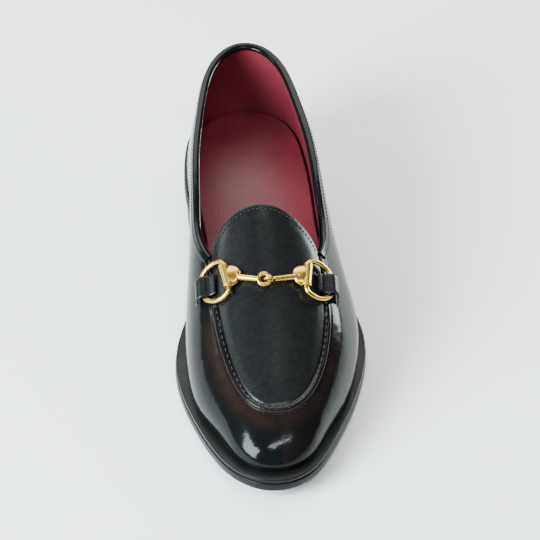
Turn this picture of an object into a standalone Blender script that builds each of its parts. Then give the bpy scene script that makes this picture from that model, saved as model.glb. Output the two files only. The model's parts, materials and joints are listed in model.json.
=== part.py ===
"""A bit loafer for the left foot, built from the pieces that a shoemaker puts together.

The last is a smooth form worked out from a short table of sections. Upper, apron, collar binding,
welt, outsole and insole are all measured from that one form, and a brass snaffle bit lies over the apron.
Sizes are millimetres measured from the back of the last (a station) and up from the floor (a height).
In Blender the toe points to -Y, the outer side of the foot to +X, and the origin is on the floor
under the middle of the heel.
"""
import math

import bmesh
import bpy
import numpy as np
from mathutils import Matrix
from mathutils import Vector

# Driving sizes of the last and the sole
LAST_LENGTH = 286.0
HEEL_CENTRE = 34.0
HEEL_ROUND = 36.0
TOE_ROUND = 22.0
SOLE_HEEL_ROUND = 38.0
SOLE_TOE_ROUND = 22.5
GAP = 0.3
MILLIMETRE = 0.001

# The last, one row for each section; medial and lateral are half widths where upper and welt meet
LAST_COLUMNS = ("station", "medial", "lateral", "instep", "belly_medial", "belly_lateral", "squareness")
LAST = (
    (0.0, 0.0, 0.0, 128.0, 0.09, 0.11, 0.60),
    (35.0, 35.0, 34.5, 124.0, 0.10, 0.13, 0.92),
    (70.0, 36.0, 37.8, 116.0, 0.20, 0.20, 1.30),
    (105.0, 31.8, 39.6, 104.0, 0.44, 0.20, 1.80),
    (140.0, 32.7, 46.6, 90.0, 0.50, 0.07, 1.88),
    (175.0, 39.0, 53.6, 74.0, 0.29, 0.02, 1.95),
    (205.0, 42.2, 49.9, 60.5, 0.12, 0.06, 2.30),
    (235.0, 37.4, 39.9, 49.0, 0.08, 0.08, 2.40),
    (262.0, 25.8, 27.0, 40.5, 0.09, 0.11, 2.40),
    (286.0, 0.0, 0.0, 33.0, 0.08, 0.08, 2.40),
)
# The instep ridge leans to the inner side behind the throat and to the outer side over the toes
RIDGE_COLUMNS = ("station", "shift")
RIDGE = (
    (0.0, 0.0),
    (100.0, -3.2),
    (160.0, 0.0),
    (220.0, 2.7),
    (286.0, 0.0),
)
# The sole, one row for each section; underside is the height of the tread face
SOLE_COLUMNS = ("station", "medial", "lateral", "underside")
SOLE = (
    (-3.0, 0.0, 0.0, 23.0),
    (35.0, 36.5, 36.5, 22.5),
    (70.0, 37.5, 39.4, 21.0),
    (105.0, 33.4, 41.2, 15.5),
    (140.0, 36.0, 48.7, 7.3),
    (175.0, 47.2, 57.8, 1.0),
    (205.0, 48.4, 54.2, -0.5),
    (235.0, 41.8, 44.4, 1.2),
    (265.0, 31.5, 31.5, 5.0),
    (293.5, 0.0, 0.0, 9.5),
)
# The top line's height above the floor, from the back of the heel to the throat
TOPLINE_COLUMNS = ("station", "height")
TOPLINE = (
    (0.0, 80.5),
    (30.0, 79.2),
    (60.0, 78.0),
    (90.0, 75.4),
    (120.0, 69.6),
    (145.0, 63.8),
)
# How the toe drops and how the heel's back swells out and leans in
TOE_DROP_POWER = 16.0
TOE_DROP_ROUND = 2.4
BACK_BULGE = 5.0
BACK_LEAN = 1.0
BACK_FADE = 80.0
BACK_HEIGHT = 58.0
RIDGE_BLEND = 26.0

# Throat corners, apron front and tongue end, as half widths and stations
THROAT_STATION = 167.0
THROAT_MEDIAL = 29.6
THROAT_LATERAL = 31.0
APRON_FRONT = 258.2
APRON_POWER = 2.32
TONGUE_STATION = 148.0
TONGUE_POWER = 1.9

# Leather thicknesses
WALL = 2.2
APRON_THICK = 1.2
APRON_DROP = 1.6
APRON_LINING = 1.5
STEP_INSET = 0.35
APRON_INSET = 0.85
INSOLE_THICK = 3.0
INSOLE_INSET = 3.7

# The raised seam round the apron: distance from its inner crease, and height
SEAM_COLUMNS = ("distance", "rise")
SEAM = (
    (0.0, -0.10),
    (0.9, 0.35),
    (1.8, 0.80),
    (2.7, 1.15),
    (3.6, 0.85),
    (4.5, -0.12),
)
SEAM_FADE_START = 27.0
SEAM_FADE_END = 42.0
SEAM_FADE_REST = 0.15

# Mesh steps and searches
HALVINGS = 34
RAY_REACH = 2.5
SIDE_REACH = 80.0
FRONT_COLUMNS = 44
REAR_COLUMNS = 36
TOE_CROWDING = 0.25
HEEL_CROWDING = 0.55
TONGUE_COLUMNS = 14
WALL_ROWS = 6
DISC_SHARES = (1.0, 0.83, 0.63, 0.42, 0.21)
FEATHER_SPLIT = 152.0
BLEND_COLUMNS = 6
FINE_STEPS = 25
FINE_LINE = 900
DISC_CENTRE = 200.0

# Collar binding, a folded strip over the top line
BINDING_THICK = 0.9
BINDING_OUTER = 4.2
BINDING_INNER = 1.4
BINDING_END = 0.25

# Sole pieces
OUTSOLE_THICK = 5.0
WELT_THICK = 2.7
WELT_TUCK = 5.0
EDGE_BEVEL = 0.7
BED_INSET = 1.0
SOLE_POINTS = 58
HEEL_BREAST = 73.0
HEEL_POINTS = 30
HEEL_INSET = 0.4
HEEL_TAPER = 2.0
TOP_LIFT = 6.0

# Snaffle bit: stations and half spans of its cheeks, ring, sleeve, bar and eyes
CHEEK_MEDIAL = (-19.9, 183.6)
CHEEK_LATERAL = (21.7, 186.2)
LINK = (0.6, 190.4)
CHEEK_LIFT = 3.2
LINK_LIFT = 4.1
RING_WIRE = 1.4
RING_ROUND = 11.3
RING_OFFSET = 6.6
RING_LIFT = 2.5
RING_POINTS = 21
RING_STRAIGHT_POINTS = 4
RING_CORNER = 7.0
RING_CHORD_INSET = 1.2
SLEEVE_LENGTH = 13.0
SLEEVE_RADIUS = 2.5
BELL_RADIUS = 5.6
BELL_FLAT = 0.42
BELL_LENGTH = 7.0
BELL_START = 0.8
BORE_SPARE = 3.0
BAR_THICK = 1.85
BAR_THIN = 1.5
BAR_POINTS = 7
EYE_FLAT_ROUND = 3.1
EYE_FLAT_WIRE = 1.2
EYE_UPRIGHT_ROUND = 2.6
EYE_UPRIGHT_WIRE = 1.0
LINK_CLEARANCE = 0.35
EYE_POINTS = 16
SLEEVE_SIDES = 16

# Leather keepers that hold the rings to the vamp
KEEPER_WIDTH = 11.5
KEEPER_THICK = 1.2
KEEPER_COLUMNS = ("across", "rise")
KEEPER = (
    (-10.5, 1.0),
    (-8.0, 1.0),
    (-6.2, 1.3),
    (-5.1, 2.6),
    (-4.1, 4.0),
    (-2.5, 4.9),
    (-0.6, 5.1),
    (0.9, 4.8),
    (2.1, 3.7),
    (2.9, 2.3),
    (3.8, 1.3),
    (5.3, 1.0),
)
KEEPER_ROWS = 5

CAP_SIDES = 2


def column(table, columns, name):
    """One named column of a table as an array."""
    place = columns.index(name)
    return np.array([row[place] for row in table])


def smooth(where, stations, values):
    """Natural cubic curve through a column's values."""
    steps = np.diff(stations)
    count = len(stations)
    system = np.eye(count)
    change = np.zeros(count)
    slopes = np.diff(values) / steps
    for k in range(1, count - 1):
        system[k, k - 1:k + 2] = steps[k - 1], 2 * (steps[k - 1] + steps[k]), steps[k]
        change[k] = 6 * (slopes[k] - slopes[k - 1])
    curve = np.linalg.solve(system, change)
    at = np.clip(where, stations[0], stations[-1])
    k = np.clip(np.searchsorted(stations, at) - 1, 0, count - 2)
    part = at - stations[k]
    start = slopes[k] - steps[k] * (2 * curve[k] + curve[k + 1]) / 6
    return values[k] + part * (start + part * (curve[k] / 2 + part * (curve[k + 1] - curve[k]) / (6 * steps[k])))


def along(table, columns, name):
    """A function of station from one named column."""
    stations = column(table, columns, "station")
    values = column(table, columns, name)
    return lambda station: smooth(station, stations, values)


def outline_side(table, columns, name, heel_round, toe_round):
    """Squared half width of one side, closing round at the heel and the toe."""
    stations = column(table, columns, "station")
    length = stations[-1] - stations[0]
    share = (stations[1:-1] - stations[0]) / length
    fullness = np.empty(len(stations))
    fullness[0] = math.sqrt(heel_round * length / 2)
    fullness[-1] = math.sqrt(toe_round * length / 2)
    fullness[1:-1] = column(table, columns, name)[1:-1] / np.sqrt(4 * share * (1 - share))

    def squared(station):
        part = (station - stations[0]) / length
        return 4 * part * (1 - part) * smooth(station, stations, fullness) ** 2

    return squared


FEATHER_EDGE = {
    side: outline_side(LAST, LAST_COLUMNS, side, HEEL_ROUND, TOE_ROUND)
    for side in ("medial", "lateral")
}
SOLE_EDGE = {
    side: outline_side(SOLE, SOLE_COLUMNS, side, SOLE_HEEL_ROUND, SOLE_TOE_ROUND)
    for side in ("medial", "lateral")
}
FEATHER_ENDS = (LAST[0][0], LAST[-1][0])
SOLE_ENDS = (SOLE[0][0], SOLE[-1][0])
belly_medial = along(LAST, LAST_COLUMNS, "belly_medial")
belly_lateral = along(LAST, LAST_COLUMNS, "belly_lateral")
squareness = along(LAST, LAST_COLUMNS, "squareness")
instep = along(LAST, LAST_COLUMNS, "instep")
ridge_shift = along(RIDGE, RIDGE_COLUMNS, "shift")
underside_curve = along(SOLE, SOLE_COLUMNS, "underside")


def underside(station):
    """Height of the outsole's tread face, flat on the floor under the ball."""
    return np.maximum(underside_curve(station), 0.0)


def sole_top(station):
    """Height of the welt's and the bed's upper face."""
    return underside(station) + OUTSOLE_THICK + GAP + WELT_THICK


def feather_height(station):
    """Height of the line where the upper stands on the welt."""
    return sole_top(station) + GAP


def spine_height(station):
    """Height of the last's ridge, dropping round at the toe."""
    part = np.clip(station / LAST_LENGTH, 0.0, 1.0)
    drop = (1.0 - part ** TOE_DROP_POWER) ** (1.0 / TOE_DROP_ROUND)
    foot = feather_height(station)
    return foot + (instep(station) - foot) * drop


def ease(value):
    """Smooth step from 0 to 1."""
    part = np.clip(value, 0.0, 1.0)
    return part * part * (3.0 - 2.0 * part)


def back_curve(station, height):
    """How far the heel's back swells and leans at a height."""
    rise = np.clip((height - feather_height(station)) / BACK_HEIGHT, 0.0, 1.6)
    return ease(1.0 - station / BACK_FADE) * (4.0 * BACK_BULGE * rise * (1.0 - rise) - BACK_LEAN * rise)


def last_field(points):
    """Negative inside the last and positive outside; points are across, station and height."""
    across, station, height = np.moveaxis(points, -1, 0)
    foot = feather_height(station)
    share = np.clip((height - foot) / np.maximum(spine_height(station) - foot, 0.01), 0.0, 1.0)
    lean = across - ridge_shift(station) * share ** 2
    seat = station + back_curve(station, height)
    outer = ease(lean / RIDGE_BLEND + 0.5)
    width = FEATHER_EDGE["medial"](seat) * (1 - outer) + FEATHER_EDGE["lateral"](seat) * outer
    belly = belly_medial(station) * (1 - outer) + belly_lateral(station) * outer
    form = (1.0 + belly * (1.0 - (1.0 - share) ** 2)) ** 2 * (1.0 - share ** squareness(station))
    return lean ** 2 - width * form


def halve(inside, low, high):
    """Bisect between values that lie inside and outside the last."""
    for _ in range(HALVINGS):
        middle = (low + high) / 2
        within = inside(middle)
        low = np.where(within, middle, low)
        high = np.where(within, high, middle)
    return (low + high) / 2


def cast(origin, through):
    """Where rays from inner points through outer ones leave the last."""
    ray = through - origin
    near = np.zeros(ray.shape[:-1])
    reach = halve(lambda t: last_field(origin + ray * t[..., None]) < 0, near, near + RAY_REACH)
    return origin + ray * reach[..., None]


def on_top(plan):
    """Surface points of the last above plan points."""
    across, station = np.moveaxis(plan, -1, 0)
    foot = feather_height(station)
    crown = spine_height(station)
    low = foot + 0.3 * (crown - foot)
    height = halve(lambda z: last_field(np.stack([across, station, z], -1)) < 0, low, crown)
    return np.stack([across, station, height], -1)


def on_side(sign, station, height):
    """Surface points of one side of the last at given stations and heights."""
    near = np.zeros(np.shape(station))
    wide = halve(lambda x: last_field(np.stack([sign * x, station, height], -1)) < 0, near, near + SIDE_REACH)
    return np.stack([sign * wide, station, height], -1)


def outward(points):
    """Unit normals of the last's surface."""
    step = 0.05
    slopes = [last_field(points + step * axis) - last_field(points - step * axis) for axis in np.eye(3)]
    slopes = np.stack(slopes, -1)
    return slopes / np.linalg.norm(slopes, axis=-1, keepdims=True)


def superellipse(angle, half, reach, power):
    """Quarter-round curve from a half width to a reach, flat where the power is high."""
    across = np.sign(np.cos(angle)) * half * np.abs(np.cos(angle)) ** (2 / power)
    return across, reach * np.abs(np.sin(angle)) ** (2 / power)


def apron_plan(angle):
    """Front edge of the apron; the angle runs from the lateral corner round to the medial one."""
    half = np.where(np.cos(angle) > 0, THROAT_LATERAL, THROAT_MEDIAL)
    across, ahead = superellipse(angle, half, APRON_FRONT - THROAT_STATION, APRON_POWER)
    station = THROAT_STATION + ahead
    return np.stack([across + ridge_shift(station), station], -1)


def tongue_plan(angle):
    """Edge of the tongue; the angle runs from the medial corner round to the lateral one."""
    half = np.where(np.cos(angle) > 0, THROAT_MEDIAL, THROAT_LATERAL)
    across, behind = superellipse(angle, half, THROAT_STATION - TONGUE_STATION, TONGUE_POWER)
    station = THROAT_STATION - behind
    return np.stack([ridge_shift(station) - across, station], -1)


def evenly(points, count, crowding=0.0):
    """Points spaced along a fine line, evenly or crowded toward its middle."""
    lengths = np.linalg.norm(np.diff(points, axis=0), axis=1)
    travelled = np.concatenate([[0.0], np.cumsum(lengths)])
    share = np.linspace(0.0, 1.0, count + 1)
    wanted = travelled[-1] * (share + crowding * np.sin(2 * math.pi * share) / (2 * math.pi))
    return np.stack([np.interp(wanted, travelled, points[:, k]) for k in range(points.shape[1])], -1)


def top_height(station, corner):
    """Height of the top line, ending at a throat corner."""
    stations = np.append(column(TOPLINE, TOPLINE_COLUMNS, "station"), THROAT_STATION)
    heights = np.append(column(TOPLINE, TOPLINE_COLUMNS, "height"), corner)
    return smooth(station, stations, heights)


def back_station(height):
    """Station of the heel's back at a height."""
    station = 0.0
    for _ in range(5):
        station = -back_curve(station, height)
    return station


def topline_side(sign, corner):
    """One side of the top line, from the back of the heel to a throat corner."""
    back = back_station(TOPLINE[0][1])
    share = np.linspace(0.0, 1.0, FINE_LINE)
    station = back + (THROAT_STATION - back) * share ** 2
    points = on_side(sign, station, top_height(station, corner[2]))
    points[0, 0] = 0.0
    return points


def topline():
    """The top line, from the medial throat corner round the heel to the lateral one."""
    start = on_top(tongue_plan(np.array(0.0)))
    end = on_top(apron_plan(np.array(0.0)))
    return np.concatenate([topline_side(-1.0, start)[::-1], topline_side(1.0, end)[1:]])


def outline_plan(edges, ends, angle):
    """Plan points of an outline; the angle starts at the heel and passes the lateral side first."""
    station = ends[0] + (ends[1] - ends[0]) / 2 * (1 - np.cos(angle))
    lateral = np.sin(angle) >= 0
    width = np.where(lateral, edges["lateral"](station), edges["medial"](station))
    across = np.where(lateral, 1.0, -1.0) * np.sqrt(np.maximum(width, 0.0))
    return np.stack([across, station], -1)


def inset_plan(edges, ends, angle, inset):
    """The outline moved inward by an inset."""
    step = 0.001
    ahead = outline_plan(edges, ends, angle + step) - outline_plan(edges, ends, angle - step)
    ahead /= np.linalg.norm(ahead, axis=-1, keepdims=True)
    sideways = np.stack([ahead[..., 1], -ahead[..., 0]], -1)
    return outline_plan(edges, ends, angle) - inset * sideways


def with_height(plan, height):
    """Plan points raised by a function of their station."""
    return np.concatenate([plan, height(plan[..., 1])[..., None]], -1)


def split_angle(ends, station):
    """Angle of an outline at which it passes a station."""
    return math.acos(1 - 2 * (station - ends[0]) / (ends[1] - ends[0]))


def wall_columns():
    """Feet and tops of the wall's columns: lateral corner, toe, medial corner, heel and back."""
    split = split_angle(FEATHER_ENDS, FEATHER_SPLIT)
    whole = 2 * math.pi
    front = outline_plan(FEATHER_EDGE, FEATHER_ENDS, np.linspace(split, whole - split, FINE_LINE))
    rear = outline_plan(FEATHER_EDGE, FEATHER_ENDS, np.linspace(whole - split, whole + split, FINE_LINE))
    front_feet = evenly(with_height(front, feather_height), FRONT_COLUMNS, TOE_CROWDING)
    rear_feet = evenly(with_height(rear, feather_height), REAR_COLUMNS, HEEL_CROWDING)
    front_tops = evenly(on_top(apron_plan(np.linspace(0.0, math.pi, FINE_LINE))), FRONT_COLUMNS, TOE_CROWDING)
    rear_tops = evenly(topline(), REAR_COLUMNS, HEEL_CROWDING)
    feet = np.concatenate([front_feet, rear_feet[1:-1]])
    tops = np.concatenate([front_tops, rear_tops[1:-1]])
    return feet, tops


def inner_line(points):
    """Points inside the last from which the wall's rays start."""
    station = np.clip(points[..., 1], HEEL_CENTRE, LAST_LENGTH - 40.0)
    low = feather_height(station) + 6.0
    mix = ease((points[..., 1] - 90.0) / 60.0)
    height = points[..., 2] * (1 - mix) + low * mix
    return np.stack([np.zeros(station.shape), station, height], -1)


def on_wall(feet, tops, share):
    """Surface points between feet and tops at given shares of the way up."""
    straight = feet + (tops - feet) * share[..., None]
    return cast(inner_line(straight), straight)


def rear_share(count):
    """0 on the front columns, easing to 1 over the first columns behind each throat corner."""
    index = np.arange(count)
    behind = np.minimum(index - FRONT_COLUMNS, count - index)
    return ease(behind / BLEND_COLUMNS)


def wall_grid():
    """Surface points of the wall from the welt up, with each row's distance from the top."""
    feet, tops = wall_columns()
    count = len(feet)
    share = np.linspace(0.0, 1.0, FINE_STEPS)[:, None] * np.ones(count)
    fine = on_wall(feet, tops, share)
    lengths = np.linalg.norm(np.diff(fine, axis=0), axis=-1)
    below = np.concatenate([np.cumsum(lengths[::-1], axis=0)[::-1], np.zeros((1, count))])
    seam = column(SEAM, SEAM_COLUMNS, "distance")
    rows = len(seam) + WALL_ROWS
    rear = rear_share(count)
    distance = np.empty((rows, count))
    shares = np.empty((rows, count))
    for k in range(count):
        full = below[0, k]
        front_rows = np.concatenate([seam, np.linspace(seam[-1], full, WALL_ROWS + 1)[1:]])
        rear_rows = np.linspace(0.0, full, rows)
        distance[:, k] = (front_rows + (rear_rows - front_rows) * rear[k])[::-1]
        shares[:, k] = np.interp(distance[:, k], below[::-1, k], share[::-1, k])
    return on_wall(feet, tops, shares), distance


def seam_strength(tops):
    """How high the raised seam stands on each front column; it dies out under the rings."""
    front = tops[:FRONT_COLUMNS + 1]
    lengths = np.linalg.norm(np.diff(front, axis=0), axis=1)
    travelled = np.concatenate([[0.0], np.cumsum(lengths)])
    nearest = np.minimum(travelled, travelled[-1] - travelled)
    fade = ease((nearest - SEAM_FADE_START) / (SEAM_FADE_END - SEAM_FADE_START))
    return SEAM_FADE_REST + (1.0 - SEAM_FADE_REST) * fade


def disc_plan(tops, inset):
    """Rings of plan points inside the apron's seam and the tongue's edge, shrinking to a centre."""
    tongue = evenly(on_top(tongue_plan(np.linspace(0.0, math.pi, FINE_LINE))), TONGUE_COLUMNS)
    edge = np.concatenate([tops[:FRONT_COLUMNS + 1, :2], tongue[1:-1, :2]])
    centre = np.array([ridge_shift(DISC_CENTRE), DISC_CENTRE])
    spokes = edge - centre
    lengths = np.linalg.norm(spokes, axis=1, keepdims=True)
    spokes *= 1.0 - inset / lengths
    return [centre + share * spokes for share in DISC_SHARES], centre


def strip(first, second, closed):
    """Faces between two rows of point numbers."""
    count = len(first)
    last = count if closed else count - 1
    return [(first[k], first[(k + 1) % count], second[(k + 1) % count], second[k]) for k in range(last)]


def ladder(ring):
    """Faces that close a ring whose first and middle points are its two ends."""
    count = len(ring)
    half = count // 2
    faces = [(ring[0], ring[1], ring[-1]), (ring[half - 1], ring[half], ring[half + 1])]
    for k in range(1, half - 1):
        faces.append((ring[k], ring[k + 1], ring[count - k - 1], ring[count - k]))
    return faces


class Points:
    """Collects points and hands out their numbers."""

    def __init__(self):
        self.rows = []
        self.count = 0

    def add(self, points):
        points = np.atleast_2d(points)
        numbers = list(range(self.count, self.count + len(points)))
        self.rows.append(points)
        self.count += len(points)
        return numbers


def skin(store, wall, disc, centre):
    """One skin of the upper; returns its faces, its lower edge and the edge of its opening."""
    rows = [store.add(row) for row in wall]
    rings = [store.add(ring) for ring in disc]
    middle = store.add(centre)[0]
    faces = []
    for lower, upper in zip(rows, rows[1:]):
        faces += strip(lower, upper, True)
    front = FRONT_COLUMNS + 1
    faces += strip(rows[-1][:front], rings[0][:front], False)
    for outer, inner in zip(rings, rings[1:]):
        faces += strip(outer, inner, True)
    faces += [(a, b, middle) for a, b in zip(rings[-1], rings[-1][1:] + rings[-1][:1])]
    opening = rows[-1][front - 1:] + rows[-1][:1] + rings[0][:1] + rings[0][:front - 2:-1]
    return faces, rows[0], opening


def world(points):
    """Millimetres across, along and up to metres in Blender's axes."""
    points = np.atleast_2d(points)
    return np.stack([points[:, 0], HEEL_CENTRE - points[:, 1], points[:, 2]], -1) * MILLIMETRE


def direction(vector):
    """A direction across, along and up in Blender's axes."""
    return Vector((vector[0], -vector[1], vector[2])).normalized()


def clear_scene():
    """Remove every object that the scene starts with."""
    for thing in list(bpy.data.objects):
        bpy.data.objects.remove(thing)


def new_collection(name):
    """A collection linked to the scene."""
    group = bpy.data.collections.new(name)
    bpy.context.scene.collection.children.link(group)
    return group


def finish_material(name, colour, roughness, metallic=0.0):
    """A plain Principled material."""
    material = bpy.data.materials.new(name)
    material.use_nodes = True
    shader = material.node_tree.nodes["Principled BSDF"]
    shader.inputs["Base Color"].default_value = (*colour, 1.0)
    shader.inputs["Roughness"].default_value = roughness
    shader.inputs["Metallic"].default_value = metallic
    return material


def add_mesh(name, mesh, material, group):
    """An object round a mesh, smooth but for its sharp edges."""
    mesh.shade_smooth()
    mesh.set_sharp_from_angle(angle=math.radians(38))
    mesh.materials.append(material)
    thing = bpy.data.objects.new(name, mesh)
    group.objects.link(thing)
    return thing


def loft(name, store, faces, material, group):
    """A closed solid from collected points and faces."""
    mesh = bpy.data.meshes.new(name)
    mesh.from_pydata([tuple(point) for point in world(np.concatenate(store.rows))], [], faces)
    form = bmesh.new()
    form.from_mesh(mesh)
    bmesh.ops.recalc_face_normals(form, faces=form.faces)
    form.to_mesh(mesh)
    form.free()
    return add_mesh(name, mesh, material, group)


def sheet(name, store, faces, thickness, material, group):
    """An open surface given its thickness downward by Solidify."""
    thing = loft(name, store, faces, material, group)
    mesh = thing.data
    upward = sum((face.normal * face.area for face in mesh.polygons), Vector())
    if upward.z < 0:
        mesh.flip_normals()
    shell = thing.modifiers.new("thickness", "SOLIDIFY")
    shell.thickness = thickness * MILLIMETRE
    shell.offset = -1.0
    shell.use_rim = True
    return thing


def make_upper(group, material):
    """The vamp and quarters, one hollow wall that is open at the throat and underneath."""
    base, distance = wall_grid()
    normal = outward(base)
    count = base.shape[1]
    profile = np.interp(distance, column(SEAM, SEAM_COLUMNS, "distance"), column(SEAM, SEAM_COLUMNS, "rise"))
    strength = np.zeros(count)
    strength[:FRONT_COLUMNS + 1] = seam_strength(base[-1])
    inside_seam = distance <= SEAM[-1][0] + 0.001
    rise = np.where(inside_seam, profile, 0.0) * strength
    index = np.arange(count)
    front = np.where(index <= FRONT_COLUMNS, np.minimum(index, FRONT_COLUMNS - index), 0)
    deepen = np.minimum(front / 2.0, 1.0) * (APRON_DROP + APRON_LINING - WALL)
    depth = WALL + deepen * np.clip(1.0 - distance / SEAM[-1][0], 0.0, 1.0)
    outer = base + normal * rise[..., None]
    inner = base - normal * depth[..., None]
    inner[0, :, 2] = base[0, :, 2]
    plans, centre = disc_plan(base[-1], STEP_INSET)
    discs = [on_top(plan) for plan in plans]
    middle = on_top(centre)
    outer_disc = [ring - outward(ring) * APRON_DROP for ring in discs]
    inner_disc = [ring - outward(ring) * (APRON_DROP + APRON_LINING) for ring in discs]
    up = outward(middle)
    store = Points()
    outside, low_outside, open_outside = skin(store, outer, outer_disc, middle - up * APRON_DROP)
    inside, low_inside, open_inside = skin(store, inner, inner_disc, middle - up * (APRON_DROP + APRON_LINING))
    faces = outside + [face[::-1] for face in inside]
    faces += strip(low_inside, low_outside, True)
    faces += strip(open_outside, open_inside, True)
    loft("upper", store, faces, material, group)
    return base, normal


def make_apron(group, material, tops):
    """Apron and tongue in one piece, laid into the vamp's step inside the raised seam."""
    plans, centre = disc_plan(tops, APRON_INSET)
    level = SEAM[0][1]
    store = Points()
    rings = []
    for plan in plans:
        ring = on_top(plan)
        rings.append(store.add(ring + outward(ring) * level))
    middle = on_top(centre)
    middle = store.add(middle + outward(middle) * level)[0]
    faces = []
    for outer, inner in zip(rings, rings[1:]):
        faces += strip(outer, inner, True)
    faces += [(a, b, middle) for a, b in zip(rings[-1], rings[-1][1:] + rings[-1][:1])]
    sheet("apron", store, faces, APRON_THICK, material, group)


def binding_profile():
    """Section of the folded binding as outward and downward distances from the top line."""
    inner = -WALL - GAP
    thick = BINDING_THICK
    return (
        (GAP, BINDING_OUTER),
        (GAP + 0.7 * thick, BINDING_OUTER),
        (GAP + thick, BINDING_OUTER - 0.6),
        (GAP + thick, 0.0),
        (GAP + 0.5 * thick, -GAP - 0.65 * thick),
        (-WALL / 2, -GAP - thick),
        (inner - 0.5 * thick, -GAP - 0.65 * thick),
        (inner - thick, 0.0),
        (inner - thick, BINDING_INNER),
        (inner, BINDING_INNER),
        (inner, -GAP),
        (GAP, -GAP),
    )


def make_binding(group, material, base, normal):
    """The leather binding folded over the top line from one throat corner to the other."""
    rear = list(range(FRONT_COLUMNS, base.shape[1])) + [0]
    top = base[-1, rear]
    out = normal[-1, rear]
    down = base[0, rear] - top
    down -= out * np.sum(down * out, axis=1, keepdims=True)
    for ends in ((0, 1), (-1, -2)):
        top[ends[0]] += BINDING_END * (top[ends[1]] - top[ends[0]])
    ahead = np.gradient(top, axis=0)
    ahead /= np.linalg.norm(ahead, axis=1, keepdims=True)
    out -= ahead * np.sum(out * ahead, axis=1, keepdims=True)
    out /= np.linalg.norm(out, axis=1, keepdims=True)
    down = np.cross(ahead, out)
    down *= np.where(down[:, 2:] > 0, -1.0, 1.0)
    store = Points()
    sections = []
    for point, side, fall in zip(top, out, down):
        ring = [point + side * a + fall * b for a, b in binding_profile()]
        sections.append(store.add(np.array(ring)))
    faces = [tuple(sections[0]), tuple(sections[-1][::-1])]
    for first, second in zip(sections, sections[1:]):
        faces += strip(first, second, True)
    loft("collar_binding", store, faces, material, group)


def ring_points(store, edges, ends, inset, height):
    """Numbers of a closed ring of points on an inset outline."""
    angle = np.linspace(0.0, 2 * math.pi, SOLE_POINTS, endpoint=False)
    plan = inset_plan(edges, ends, angle, inset)
    return store.add(with_height(plan, height))


def slab(name, levels, group, material):
    """A flat piece through closed outlines, shut across the lowest and the highest."""
    store = Points()
    rings = [ring_points(store, *level) for level in levels]
    faces = ladder(rings[0]) + ladder(rings[-1])
    for lower, upper in zip(rings, rings[1:]):
        faces += strip(lower, upper, True)
    loft(name, store, faces, material, group)


def make_outsole(group, material):
    """The outsole: a flat flange for the welt and a raised bed inside it."""
    slab("outsole", (
        (SOLE_EDGE, SOLE_ENDS, EDGE_BEVEL, underside),
        (SOLE_EDGE, SOLE_ENDS, 0.0, lambda s: underside(s) + EDGE_BEVEL),
        (SOLE_EDGE, SOLE_ENDS, 0.0, lambda s: underside(s) + OUTSOLE_THICK - EDGE_BEVEL / 2),
        (SOLE_EDGE, SOLE_ENDS, EDGE_BEVEL / 2, lambda s: underside(s) + OUTSOLE_THICK),
        (FEATHER_EDGE, FEATHER_ENDS, WELT_TUCK + GAP, lambda s: underside(s) + OUTSOLE_THICK),
        (FEATHER_EDGE, FEATHER_ENDS, WELT_TUCK + GAP, sole_top),
    ), group, material)


def make_welt(group, material):
    """The welt, a strip that shows round the foot of the upper."""
    store = Points()
    levels = (
        (FEATHER_EDGE, FEATHER_ENDS, WELT_TUCK, lambda s: sole_top(s) - WELT_THICK),
        (SOLE_EDGE, SOLE_ENDS, GAP + EDGE_BEVEL / 2, lambda s: sole_top(s) - WELT_THICK),
        (SOLE_EDGE, SOLE_ENDS, GAP, lambda s: sole_top(s) - WELT_THICK + EDGE_BEVEL / 2),
        (SOLE_EDGE, SOLE_ENDS, GAP, lambda s: sole_top(s) - EDGE_BEVEL),
        (SOLE_EDGE, SOLE_ENDS, GAP + EDGE_BEVEL, sole_top),
        (FEATHER_EDGE, FEATHER_ENDS, WELT_TUCK, sole_top),
    )
    rings = [ring_points(store, *level) for level in levels]
    faces = []
    for lower, upper in zip(rings, rings[1:] + rings[:1]):
        faces += strip(lower, upper, True)
    loft("welt", store, faces, material, group)


def make_insole(group, material):
    """The insole that the foot stands on."""
    slab("insole", (
        (FEATHER_EDGE, FEATHER_ENDS, INSOLE_INSET + BED_INSET, feather_height),
        (FEATHER_EDGE, FEATHER_ENDS, INSOLE_INSET, lambda s: feather_height(s) + EDGE_BEVEL),
        (FEATHER_EDGE, FEATHER_ENDS, INSOLE_INSET, lambda s: feather_height(s) + INSOLE_THICK - EDGE_BEVEL),
        (FEATHER_EDGE, FEATHER_ENDS, INSOLE_INSET + BED_INSET, lambda s: feather_height(s) + INSOLE_THICK),
    ), group, material)


def heel_ring(store, inset, height):
    """Numbers of the heel's outline from one end of the breast round the back to the other."""
    reach = split_angle(SOLE_ENDS, HEEL_BREAST)
    angle = np.linspace(-reach, reach, HEEL_POINTS)
    plan = inset_plan(SOLE_EDGE, SOLE_ENDS, angle, inset)
    plan[:, 1] = np.minimum(plan[:, 1], HEEL_BREAST)
    return store.add(with_height(plan, height))


def heel_cap(ring):
    """Faces across the heel's outline."""
    half = len(ring) // 2
    faces = [(ring[k], ring[k + 1], ring[-k - 2], ring[-k - 1]) for k in range(half - 1)]
    return faces


def level_at(height):
    """A height that is the same at every station."""
    return lambda station: np.full(np.shape(station), height)


def make_heel_block(name, levels, group, material):
    """A heel piece through outlines at given insets and heights."""
    store = Points()
    rings = [heel_ring(store, inset, height) for inset, height in levels]
    faces = heel_cap(rings[0]) + heel_cap(rings[-1])
    for lower, upper in zip(rings, rings[1:]):
        faces += strip(lower, upper, True)
    loft(name, store, faces, material, group)


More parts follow.
